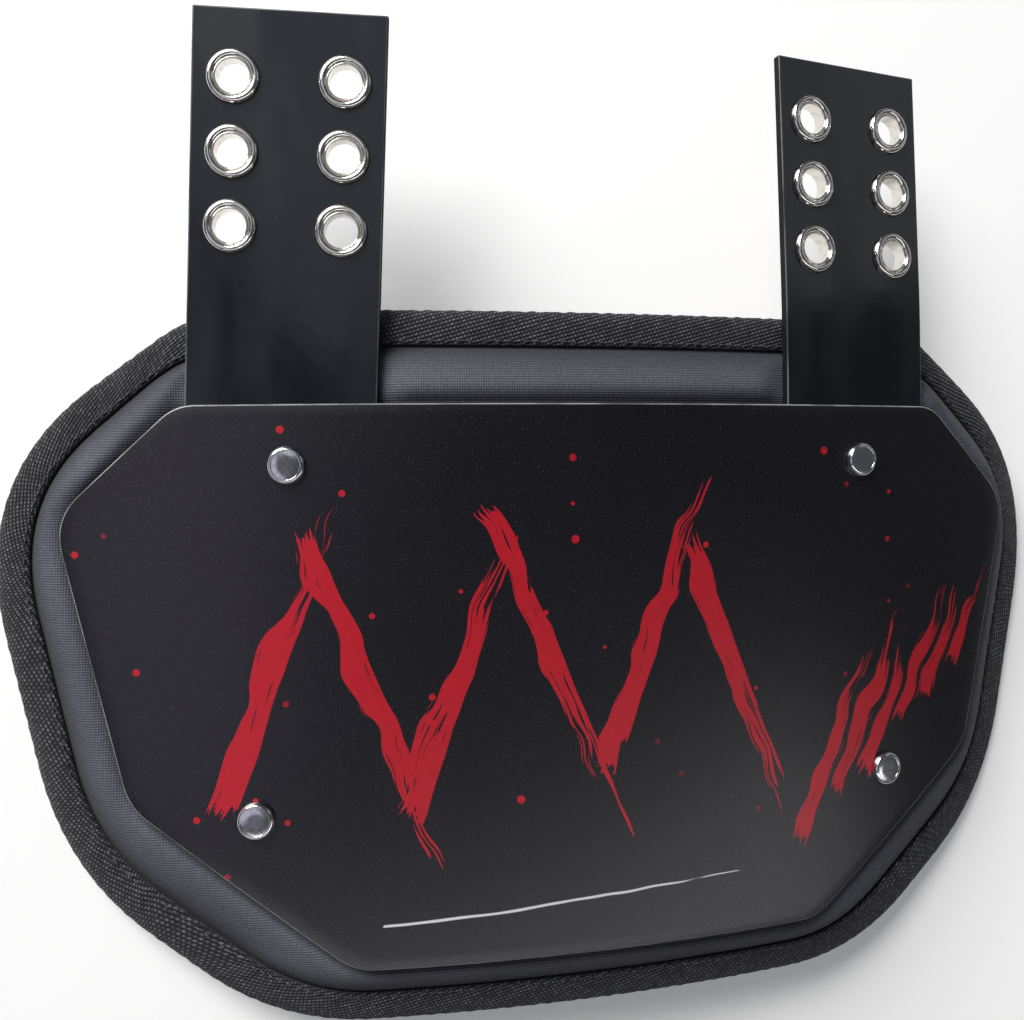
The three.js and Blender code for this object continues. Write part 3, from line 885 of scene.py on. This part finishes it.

# %% [markdown]
# The pad is foam under a knitted cover. A flat panel lies behind the shell, a rounded shoulder leads from
# it down to the rim, and a thin flange beyond the rim is what the tape is sewn to. It is drawn as one skin
# over the front, round the flange and along the back. The shell's edge presses a fine groove into the
# cover, and a number on every point says how near it is to that groove or to the rim, so that painted
# shade can darken the cloth there.

# %% Model the pad
PAD_FRONT = PLATE_THICKNESS + GAP
PAD_BACK = 20.0
FLANGE_FRONT = 10.9
FLANGE_BACK = 13.1
FLANGE_WIDTH = 0.72
SHOULDER_START = 0.1
SHOULDER_STEPS = 12
FLAT_SHARES = [0.02, 0.04, 0.06, 0.08]
SHOULDER_SLOPE = 0.45
PRESS = 2.6
PRESS_REACH = 3.6
PLATE_CREASE = 2.5
RIM_CREASE = 8.0
PANEL_SHARES = np.linspace(0.03, 1, 20)
ScrewPlace = namedtuple("ScrewPlace", "name s h")
SCREWS = [ScrewPlace("upper", 96.3, 68.8), ScrewPlace("lower", 107.5, -38.9)]
SCREW_FOOT_RADIUS = 7.0


def shoulder(panel_depth, rim_depth):
    """Lines from the flat panel round the shoulder to the rim, each with its depth."""
    lines = [(between(plate_line, rim_line, share), panel_depth) for share in FLAT_SHARES]
    for angle in np.linspace(0, math.pi / 2, SHOULDER_STEPS + 1):
        round_way = (1 - SHOULDER_SLOPE) * math.sin(angle) + SHOULDER_SLOPE * angle * 2 / math.pi
        out = SHOULDER_START + (1 - SHOULDER_START) * round_way
        depth = panel_depth + (rim_depth - panel_depth) * (1 - math.cos(angle))
        lines.append((between(plate_line, rim_line, out), depth))
    return lines


panel = [plate_line * share for share in PANEL_SHARES]
flange_line = between(rim_line, edge_line, FLANGE_WIDTH)
front_side = [(line, PAD_FRONT) for line in panel] + shoulder(PAD_FRONT, FLANGE_FRONT)
back_side = [(line, PAD_BACK) for line in panel] + shoulder(PAD_BACK, FLANGE_BACK)
pad_rings = front_side + [(flange_line, FLANGE_FRONT), (flange_line, FLANGE_BACK)] + back_side[::-1]
pad_lines, pad_depths = split(pad_rings)


def nearness(line, reach, is_front_only):
    """How near the pad's points are to a line, from 1 on it down to 0."""
    near = np.exp(-((np.linalg.norm(pad_lines - line, axis=2) / reach) ** 2))
    if is_front_only:
        near[len(front_side):] = 0
    return near


pressed = PRESS * nearness(plate_line, PRESS_REACH, True)
pad_start = bent(pad_lines[:, :, 0], pad_lines[:, :, 1], pad_depths + pressed)
pad = skin("knitted_pad", laid(pad_start), wrapped(pad_lines), sharp_degrees=180)

# Painted shade: how strongly the cloth's colour is darkened near the shell's groove and near the rim.
creases = np.maximum(nearness(plate_line, PLATE_CREASE, True), nearness(rim_line, RIM_CREASE, False))
write_numbers(pad, "crease", creases.ravel())
print("pad rings", len(pad_rings), "of", len(plate_line), "points")

# %% [markdown]
# The cover is sewn down at the rim and held by the shell and the screws, and the foam pushes it out in
# between. A cloth simulation does the same: the held points are pinned, a little pressure swells the rest,
# and no point may move further than real foam would push it.

# %% Swell the pad
SWELL_FRAMES = 20
SWELL_MOST = 3.0
SCREW_HOLD = 6.0
SCREW_HOLD_FADE = 4.0
COVER_CLOTH = {
    "quality": 6,
    "mass": 0.2,
    "tension_stiffness": 30,
    "compression_stiffness": 30,
    "shear_stiffness": 10,
    "bending_stiffness": 2,
    "use_pressure": True,
    "uniform_pressure_force": 5.0,
}
held = np.ones(pad_lines.shape[:2])
front_shoulder = slice(len(panel), len(front_side) - 1)
back_start = len(front_side) + 2
held[front_shoulder] = 0.0
held[back_start + 1:] = 0.0
for screw in SCREWS:
    for side in (-1, 1):
        off = np.hypot(pad_lines[..., 0] - side * screw.s, pad_lines[..., 1] - screw.h)
        held = np.maximum(held, np.clip((SCREW_FOOT_RADIUS + SCREW_HOLD - off) / SCREW_HOLD_FADE, 0, 1))
pins = pad.vertex_groups.new(name="held")
for index, weight in enumerate(held.ravel()):
    pins.add([index], float(weight), "REPLACE")


def swell_pad():
    """Runs the cloth simulation and returns the swelled points, in metres."""
    cloth = pad.modifiers.new("swell", "CLOTH")
    for name, value in COVER_CLOTH.items():
        setattr(cloth.settings, name, value)
    cloth.settings.vertex_group_mass = pins.name
    cloth.settings.effector_weights.gravity = 0
    scene = bpy.context.scene
    for step in range(1, SWELL_FRAMES + 1):
        scene.frame_set(step)
    swelled = pad.evaluated_get(bpy.context.evaluated_depsgraph_get()).data
    points = np.zeros(len(swelled.vertices) * 3)
    swelled.vertices.foreach_get("co", points)
    pad.modifiers.remove(cloth)
    scene.frame_set(1)
    return points.reshape(-1, 3)


start_points = laid(pad_start).reshape(-1, 3)
swelled_points = swell_pad()
move = swelled_points - start_points
distance = np.linalg.norm(move, axis=1)
limit = np.tanh(distance / (SWELL_MOST * MM)) * SWELL_MOST * MM
move *= (limit / np.maximum(distance, 1e-9))[:, None]
pad_points = start_points + move
print("the cover swells by up to", round(limit.max() / MM, 2), "mm")
print("left free it would swell by", round(distance.max() / MM, 2), "mm")

# %% [markdown]
# Each strap presses into the pad behind the shell, so the cover has a shallow channel there. The points below
# a strap are pushed behind it, and the push fades out a few millimetres beside it, as foam would do.

# %% Press the straps into the pad
CHANNEL_CLEAR = 0.4
CHANNEL_ROOM = 1.0
CHANNEL_FADE = 7.0


def faded(distance, reach):
    """Goes from 1 at no distance softly to 0 at the reach."""
    part = np.clip(1 - distance / reach, 0, 1)
    return part * part * (3 - 2 * part)


worn = (pad_points / MM - SHIFT) @ TILT
for strap in STRAPS:
    middle, right_way, way_out = strap_axes(strap)
    lean = math.radians(strap.lean)
    offset_points = worn - middle
    over, climb = offset_points @ right_way, offset_points[:, 1]
    a = over * math.cos(lean) - climb * math.sin(lean)
    h = over * math.sin(lean) + climb * math.cos(lean) + PLATE_TOP
    behind = -(offset_points @ way_out)
    needed = STRAP_DEPTH + STRAP_THICKNESS + strap_bend(strap, h) + CHANNEL_CLEAR
    beside = np.maximum(np.abs(a) - STRAP_WIDTH / 2 - CHANNEL_ROOM, 0)
    below = np.maximum(STRAP_BOTTOM - CHANNEL_ROOM - h, 0)
    push = np.maximum(needed - behind, 0) * faded(beside, CHANNEL_FADE) * faded(below, CHANNEL_FADE)
    push[behind > (PAD_FRONT + PAD_BACK) / 2] = 0
    worn -= push[:, None] * way_out
    print(strap.name, "channel is up to", round(push.max(), 2), "mm deep")
pad.data.vertices.foreach_set("co", laid(worn).astype(np.float32).ravel())
pad.data.update()
smoother = pad.modifiers.new("smoother", "SUBSURF")
smoother.levels = smoother.render_levels = 1

# %% [markdown]
# The cover is a charcoal jersey knit: fine rows across, each of small loops that lean left and right. Cloth
# like this is rough all over, but its loose fibres catch light at a glancing angle, which is what sheen is
# for. In the groove along the shell and towards the rim, the knit's colour is darkened with painted shade,
# where little light gets in between the loops.

# %% Finish the pad
CREASE_SHADE = 0.75
PATCH_SHADE = 0.3
knit, tree, shader = new_material("charcoal_knit")
drawing = drawing_mm(tree)
knit_values = {"Drawing": drawing, "Row Pitch": 0.8, "Thread Pitch": 0.75, "Zigzag": 0.35}
rows = use_group(tree, threads, knit_values)
fuzz = noise(tree, drawing, 2.2, 1.0, 0.7)
patches = noise(tree, drawing, 0.03)
lit = calc(tree, "MULTIPLY", rows["Height"], calc(tree, "MULTIPLY_ADD", rows["Thread"], 0.5, 0.5))
colour = tinted(tree, lit, (0.075, 0.077, 0.096, 1), (0.19, 0.196, 0.245, 1))
colour = tinted(tree, calc(tree, "MULTIPLY", patches, PATCH_SHADE), colour, (0.05, 0.052, 0.067, 1))
# Painted shade: the knit is darkened towards the groove and the rim, where little light gets in.
painted_shade = calc(tree, "MULTIPLY", point_number(tree, "crease"), CREASE_SHADE)
colour = tinted(tree, painted_shade, colour, (0.014, 0.0145, 0.018, 1))
height = calc(tree, "MULTIPLY_ADD", fuzz, 0.25, rows["Height"])
coat(tree, shader, colour, eased(tree, fuzz, 0.3, 0.7, 0.55, 0.7), height, 0.15)
set_plain(shader, {"Sheen Weight": 0.04, "Sheen Roughness": 0.45, "Specular IOR Level": 0.35})
dress(pad, knit, "knit_cloth", "back_pad")

# %% [markdown]
# A woven tape is folded over the pad's thin edge and sewn through. It was a flat strip once, so on the round
# corners its inner edge is too long and gathers in small puckers, and its fold rolls a little all the way
# round. The tape is a closed skin: over the front, round the fold, along the back, and back inside its own
# thickness. No point of it goes below the floor that it lies on.

# %% Model the tape
TAPE_FRONT = 8.9
TAPE_BACK = 15.1
TAPE_THICKNESS = 1.3
TAPE_FOLD = 0.84
ROLL = 0.45
ROLL_WAVES = [61, 37, 23]
ROLL_END = 0.9
PUCKER = 0.4
PUCKER_WAVES = [8.5, 11.645]
PUCKER_PLACE = 0.25
PUCKER_SPREAD = 0.22
PUCKER_LEAST = 0.25
SCALLOP = 0.2
SCALLOP_WAVES = [4.3, 6.7]
SMOOTHING = 30
Section = namedtuple("Section", "out depth")
TAPE_SKIN = [
    Section(0.02, TAPE_FRONT + 0.55),
    Section(0.05, TAPE_FRONT + 0.18),
    Section(0.14, TAPE_FRONT + 0.1),
    Section(0.28, TAPE_FRONT + 0.02),
    Section(0.45, TAPE_FRONT),
    Section(0.62, TAPE_FRONT + 0.1),
    Section(0.78, TAPE_FRONT + 0.4),
    Section(0.90, TAPE_FRONT + 1.0),
    Section(0.97, TAPE_FRONT + 1.9),
    Section(1.0, (TAPE_FRONT + TAPE_BACK) / 2),
]
back_skin = [Section(p.out, TAPE_FRONT + TAPE_BACK - p.depth) for p in reversed(TAPE_SKIN[:-1])]
inside_skin = [
    Section(0.02, TAPE_BACK - TAPE_THICKNESS),
    Section(TAPE_FOLD, TAPE_BACK - TAPE_THICKNESS),
    Section(TAPE_FOLD, TAPE_FRONT + TAPE_THICKNESS),
    Section(0.02, TAPE_FRONT + TAPE_THICKNESS),
]
tape_section = TAPE_SKIN + back_skin + inside_skin


def refined(line, times):
    """A closed line with extra points on every stretch, smoothly bent through the given ones."""
    before, after, far = np.roll(line, 1, 0), np.roll(line, -1, 0), np.roll(line, -2, 0)
    points = []
    for t in np.arange(times) / times:
        swing_in = -0.5 * t + t**2 - 0.5 * t**3
        stay = 1 - 2.5 * t**2 + 1.5 * t**3
        go = 0.5 * t + 2 * t**2 - 1.5 * t**3
        swing_out = -0.5 * t**2 + 0.5 * t**3
        points.append(swing_in * before + stay * line + go * after + swing_out * far)
    return np.stack(points, axis=1).reshape(-1, line.shape[1])


TAPE_FINENESS = 4
fine_rim = refined(rim_line, TAPE_FINENESS)
fine_edge = refined(edge_line, TAPE_FINENESS)
steps = np.linalg.norm(np.roll(fine_edge, -1, 0) - fine_edge, axis=1)
travel = np.concatenate([[0], np.cumsum(steps)])
turn = np.unwrap(np.arctan2(*(np.roll(fine_edge, -1, 0) - fine_edge).T))
bend_rate = np.abs(np.gradient(turn)) / np.maximum(steps, 1e-6)
kernel = np.hanning(2 * SMOOTHING + 1)
round_again = np.concatenate([bend_rate[-SMOOTHING:], bend_rate, bend_rate[:SMOOTHING]])
cornering = np.convolve(round_again, kernel / kernel.sum(), "valid")
cornering = np.clip(cornering / cornering.max(), 0, 1)
tape_length = travel[-1]


def waves(place, lengths, phases):
    """A sum of waves that closes on itself after one way round."""
    total = np.zeros_like(place)
    for wave_length, phase in zip(lengths, phases):
        rounds = max(1, round(tape_length / wave_length))
        total += np.sin(2 * math.pi * rounds * place / tape_length + phase)
    return total / len(lengths)


def pucker_share(out):
    """How strong the puckers are at a place across the tape."""
    return math.exp(-((out - PUCKER_PLACE) / PUCKER_SPREAD) ** 2)


place = travel[:-1]
rolling = waves(place, ROLL_WAVES, [0.4, 2.1, 4.0])
gathered = PUCKER_LEAST + (1 - PUCKER_LEAST) * cornering
puckers = waves(place, PUCKER_WAVES, [0.0, 1.7]) * gathered
scallop = waves(place, SCALLOP_WAVES, [0.5, 2.5])
tape_rings, tape_drawing = [], []
across_place = 0.0
for index, section in enumerate(tape_section):
    line = between(fine_rim, fine_edge, section.out)
    is_back = section.depth > (TAPE_FRONT + TAPE_BACK) / 2
    face = 1 if is_back else -1
    is_skin = index < len(TAPE_SKIN) + len(back_skin)
    lift = np.zeros(len(line))
    if is_skin:
        lift += ROLL * rolling * math.sin(math.pi * min(section.out, ROLL_END) / ROLL_END)
        lift += PUCKER * puckers * pucker_share(section.out)
    outwards = line / np.linalg.norm(line, axis=1, keepdims=True)
    line = line + (SCALLOP * scallop * section.out**6)[:, None] * outwards
    tape_rings.append(bent(line[:, 0], line[:, 1], section.depth + face * lift))
    if index:
        across_place += np.linalg.norm(tape_rings[-1] - tape_rings[-2], axis=1).mean()
    tape_drawing.append(np.stack([travel, np.full(len(travel), across_place)], axis=1))
tape_drawing.append(np.stack([travel, np.full(len(travel), across_place + TAPE_THICKNESS)], axis=1))
tape_rings = np.array(tape_rings)
tape_points = laid(tape_rings)
tape_points[..., 2] = np.maximum(tape_points[..., 2], 0)
tape = skin("binding_tape", tape_points, np.array(tape_drawing), is_closed=True, sharp_degrees=70)

# %% [markdown]
# The tape is a black twill. Its ridges run at a slant, and each is a row of short shiny yarns, like grains of
# rice. Only the tops of the yarns catch light, so both the colour and the roughness follow their height.

# %% Finish the tape
twill, tree, shader = new_material("black_twill")
drawing = drawing_mm(tree)
twill_values = {"Drawing": drawing, "Row Pitch": 1.3, "Thread Pitch": 1.3, "Slant": -0.3, "Stagger": 0.5}
rows = use_group(tree, threads, twill_values)
fuzz = noise(tree, drawing, 3.0, 1.0, 0.6)
bright = calc(tree, "MULTIPLY", rows["Height"], calc(tree, "MULTIPLY_ADD", rows["Thread"], 0.35, 0.65))
shine = calc(tree, "POWER", bright, 3.0)
colour = tinted(tree, shine, (0.0035, 0.0036, 0.0048, 1), (0.21, 0.218, 0.255, 1))
height = calc(tree, "MULTIPLY_ADD", fuzz, 0.12, rows["Height"])
coat(tree, shader, colour, eased(tree, shine, 0.1, 0.8, 0.75, 0.35), height, 0.4)
set_plain(shader, {"Sheen Weight": 0.1, "Sheen Roughness": 0.4, "Specular IOR Level": 0.4})
dress(tape, twill, "woven_tape", "edge_binding")

# %% [markdown]
# The tape is sewn on with one row of lock stitches close to its inner edge. Each stitch is a short thread
# that rises out of the tape and dips back into it, so it is modelled as a small bent tube, and all of them
# are joined in one mesh, because several hundred single objects would only slow the scene down.

# %% Sew the tape
STITCH_PITCH = 3.1
STITCH_LENGTH = 2.5
STITCH_RADIUS = 0.27
STITCH_SIDES = 6
STITCH_RINGS = 7
STITCH_OUT = 0.14
STITCH_RISE = 0.42
STITCH_SINK = 0.22
STITCH_BED = 0.12


def stitch_row(face_depth, face):
    """The points and faces of one row of stitches on the tape's front or back."""
    line = between(fine_rim, fine_edge, STITCH_OUT)
    closed = np.concatenate([line, line[:1]])
    way = np.concatenate([[0], np.cumsum(np.linalg.norm(np.diff(closed, axis=0), axis=1))])
    lift = np.interp(way, travel * way[-1] / tape_length, np.append(PUCKER * puckers, PUCKER * puckers[0]))
    points, faces = [], []
    for middle_place in np.arange(STITCH_PITCH / 2, way[-1], STITCH_PITCH):
        spots = middle_place + np.linspace(-0.5, 0.5, STITCH_RINGS) * STITCH_LENGTH
        s = np.interp(spots, way, closed[:, 0])
        h = np.interp(spots, way, closed[:, 1])
        hump = np.cos(np.linspace(-0.5, 0.5, STITCH_RINGS) * math.pi) * STITCH_RISE - STITCH_SINK
        own_lift = np.interp(middle_place, way, lift) * pucker_share(STITCH_OUT)
        line_points = bent(s, h, face_depth + face * (hump + own_lift))
        along_thread = np.gradient(line_points, axis=0)
        along_thread /= np.linalg.norm(along_thread, axis=1, keepdims=True)
        away = face * -outward(s.mean())
        aside = np.cross(along_thread, away)
        first = len(points)
        for j in range(STITCH_RINGS):
            for angle in np.arange(STITCH_SIDES) / STITCH_SIDES * 2 * math.pi:
                round_it = math.cos(angle) * aside[j] + math.sin(angle) * away
                points.append(line_points[j] + STITCH_RADIUS * round_it)
        for j in range(STITCH_RINGS - 1):
            for k in range(STITCH_SIDES):
                near, far = first + j * STITCH_SIDES, first + (j + 1) * STITCH_SIDES
                following = (k + 1) % STITCH_SIDES
                faces.append((near + k, near + following, far + following, far + k))
        faces.append(tuple(first + k for k in reversed(range(STITCH_SIDES))))
        faces.append(tuple(first + (STITCH_RINGS - 1) * STITCH_SIDES + k for k in range(STITCH_SIDES)))
    return np.array(points), faces


front_points, front_faces = stitch_row(TAPE_FRONT + STITCH_BED, -1)
back_points, back_faces = stitch_row(TAPE_BACK - STITCH_BED, 1)
stitch_mesh = bpy.data.meshes.new("tape_stitches")
all_faces = front_faces + [tuple(index + len(front_points) for index in face) for face in back_faces]
stitch_mesh.from_pydata(laid(np.concatenate([front_points, back_points])), [], all_faces)
finish_mesh(stitch_mesh, 80)
stitches = add_object("tape_stitches", stitch_mesh)

thread, tree, shader = new_material("sewing_thread")
place_mm = scaled(tree, put(tree, "ShaderNodeTexCoord").outputs["Object"], 1 / MM)
ply = calc(tree, "SINE", calc(tree, "MULTIPLY", noise(tree, place_mm, 1.6, dimensions="3D"), 24.0))
colour = tinted(tree, ply, (0.02, 0.021, 0.025, 1), (0.17, 0.175, 0.19, 1))
coat(tree, shader, colour, eased(tree, ply, -1.0, 1.0, 0.55, 0.4), ply, 0.06)
dress(stitches, thread, "woven_tape")
print("stitches:", len(front_points) // (STITCH_SIDES * STITCH_RINGS), "on the front")

# %% [markdown]
# Eyelets and screws are turned shapes, so each is a profile swept round an axis. An eyelet is a tube whose
# ends were rolled over in a press: a round flange on the face, a fine groove inside it, the barrel, and a
# flatter flange behind. The profile is drawn with arcs, so that its highlights run in clean rings.

# %% Model the eyelets
TURNED_SIDES = 64


def arc(middle_radius, middle_height, wide, high, start, end, count):
    """Profile points along an arc, with its angles in degrees from the outward direction."""
    angles = np.radians(np.linspace(start, end, count))
    return [(middle_radius + wide * math.cos(t), middle_height + high * math.sin(t)) for t in angles]


def standing(point, direction):
    """The matrix that stands a turned shape on a bent point."""
    way = Vector(TILT @ direction)
    return Matrix.Translation(laid(point)) @ way.to_track_quat("Z", "Y").to_matrix().to_4x4()


def turned(name, profile, matrix, is_closed):
    """A turned shape from a profile of radius and height in millimetres."""
    profile = np.array(profile)
    angles = np.arange(TURNED_SIDES) / TURNED_SIDES * 2 * math.pi
    ring = np.stack([np.cos(angles), np.sin(angles), np.zeros(TURNED_SIDES)], axis=1)
    rings = np.array([ring * radius + np.array([0, 0, height]) for radius, height in profile]) * MM
    way = np.concatenate([[0], np.cumsum(np.linalg.norm(np.diff(profile, axis=0), axis=1))])
    round_way = np.append(angles, 2 * math.pi)
    sheet = np.array([[(10 * angle, w) for angle in round_way] for w in [*way, way[-1] + 1]])
    piece = skin(name, rings, sheet, is_closed=is_closed, sharp_degrees=40)
    piece.data.transform(matrix)
    return piece


BORE, BARREL, FLANGE = 5.0, 5.7, 8.0
FLANGE_HEIGHT = 1.7
BACK = -STRAP_THICKNESS
eyelet_profile = [
    *arc(6.75, 0.25, FLANGE - 6.75, FLANGE_HEIGHT - 0.25, -10, 165, 16),
    *arc(5.36, 0.72, 0.36, 0.42, 20, 180, 8),
    (BORE, 0.2),
    (BORE, BACK - 0.6),
    *arc(5.45, BACK - 0.75, 0.45, 0.5, 180, 265, 6),
    *arc(7.0, BACK - 0.75, 0.7, 0.45, 275, 400, 7),
    (BARREL, BACK - 0.05),
    (BARREL, 0.05),
]

eyelets = []
for strap in STRAPS:
    for a in EYELET_COLUMNS:
        place = "outer" if a * strap.side > 0 else "inner"
        for row_name, h in EYELET_ROWS.items():
            name = f"eyelet_{strap.name}_{place}_{row_name}"
            middle = strap_point(strap, a, h, 0.0)
            over = strap_point(strap, a + 1, h, 0.0) - middle
            climb = strap_point(strap, a, h + 1, 0.0) - middle
            matrix = standing(middle, np.cross(over, climb))
            piece = turned(f"nickel_{name}", eyelet_profile[::-1], matrix, True)
            eyelets.append((piece, name))
print("eyelets:", len(eyelets), "of", len(eyelet_profile), "rings each")

# %% [markdown]
# Plated metal is bright because it mirrors the whole studio. Polished nickel is a little warmer than chrome.
# Both get fine marks: faint rings from turning and polishing, and a thin film that dulls patches. Both need
# the same marks, so a group makes them and each metal sets its own strength.

# %% Finish the eyelets
marks, given, made = new_group(
    "turning_marks",
    {"Drawing": (0.0, 0.0, 0.0), "Rings": 6.0, "Film Size": 3.0},
    ["Height", "Film"],
)
stretched = vector_calc(marks, "MULTIPLY", given["Drawing"], (0.04, 1.0, 1.0))
feed(marks, made["Height"], noise(marks, stretched, given["Rings"]))
film = noise(marks, given["Drawing"], calc(marks, "DIVIDE", 1.0, given["Film Size"]), 2.0)
feed(marks, made["Film"], eased(marks, film, 0.45, 0.7))


def plated(name, clean, dull, rings, depth_mm, smooth, rough):
    """A plated metal with its clean and dull colours, the depth of its marks and its range of roughness."""
    material, tree, shader = new_material(name)
    drawing = drawing_mm(tree)
    worn_by = use_group(tree, marks, {"Drawing": drawing, "Rings": rings, "Film Size": 4.0})
    roughness = eased(tree, worn_by["Film"], 0.0, 1.0, smooth, rough)
    coat(tree, shader, tinted(tree, worn_by["Film"], clean, dull), roughness, worn_by["Height"], depth_mm)
    set_plain(shader, {"Metallic": 1.0})
    return material


nickel = plated("polished_nickel", (0.76, 0.73, 0.67, 1), (0.66, 0.63, 0.57, 1), 5.0, 0.01, 0.12, 0.2)
for piece, name in eyelets:
    dress(piece, nickel, "nickel", name)

# %% [markdown]
# Four post screws hold the layers together. From the front each shows a flat chromed cap with a bright
# rounded rim round a slightly lower disc, and from behind a plain round foot that lies in the pad.

# %% Make the screws
CAP_RADIUS = 5.8
CAP_HEIGHT = 2.2
DISC_RADIUS = 4.25
RIM_RADIUS = 4.6
RIM_DROP = 1.7
DISC_TOP = CAP_HEIGHT - 0.16
AXIS_RADIUS = 0.05
POST_RADIUS = 3.0
FOOT_THICKNESS = 1.2
FOOT = -PAD_BACK + GAP / 2
screw_profile = [
    (AXIS_RADIUS, DISC_TOP),
    (DISC_RADIUS * 0.5, DISC_TOP),
    (DISC_RADIUS - 0.1, DISC_TOP),
    *arc(DISC_RADIUS + 0.2, CAP_HEIGHT - 0.18, 0.2, 0.18, 180, 90, 5),
    *arc(RIM_RADIUS, CAP_HEIGHT - RIM_DROP, CAP_RADIUS - RIM_RADIUS, RIM_DROP, 90, 0, 9),
    (CAP_RADIUS, 0.2),
    (CAP_RADIUS - 0.2, 0.02),
    (POST_RADIUS, 0.02),
    (POST_RADIUS, FOOT + FOOT_THICKNESS),
    (SCREW_FOOT_RADIUS - 0.2, FOOT + FOOT_THICKNESS),
    *arc(SCREW_FOOT_RADIUS - 0.5, FOOT + 0.5, 0.5, 0.5, 0, -90, 6),
    (AXIS_RADIUS, FOOT),
]
chrome = plated("polished_chrome", (0.68, 0.685, 0.7, 1), (0.64, 0.64, 0.65, 1), 1.0, 0.001, 0.14, 0.18)
for side, side_name in ((-1, "left"), (1, "right")):
    for screw in SCREWS:
        name = f"screw_{screw.name}_{side_name}"
        s = side * screw.s
        matrix = standing(bent(s, screw.h, 0), outward(s))
        piece = turned(f"chrome_{name}", screw_profile, matrix, False)
        dress(piece, chrome, "chrome", name)
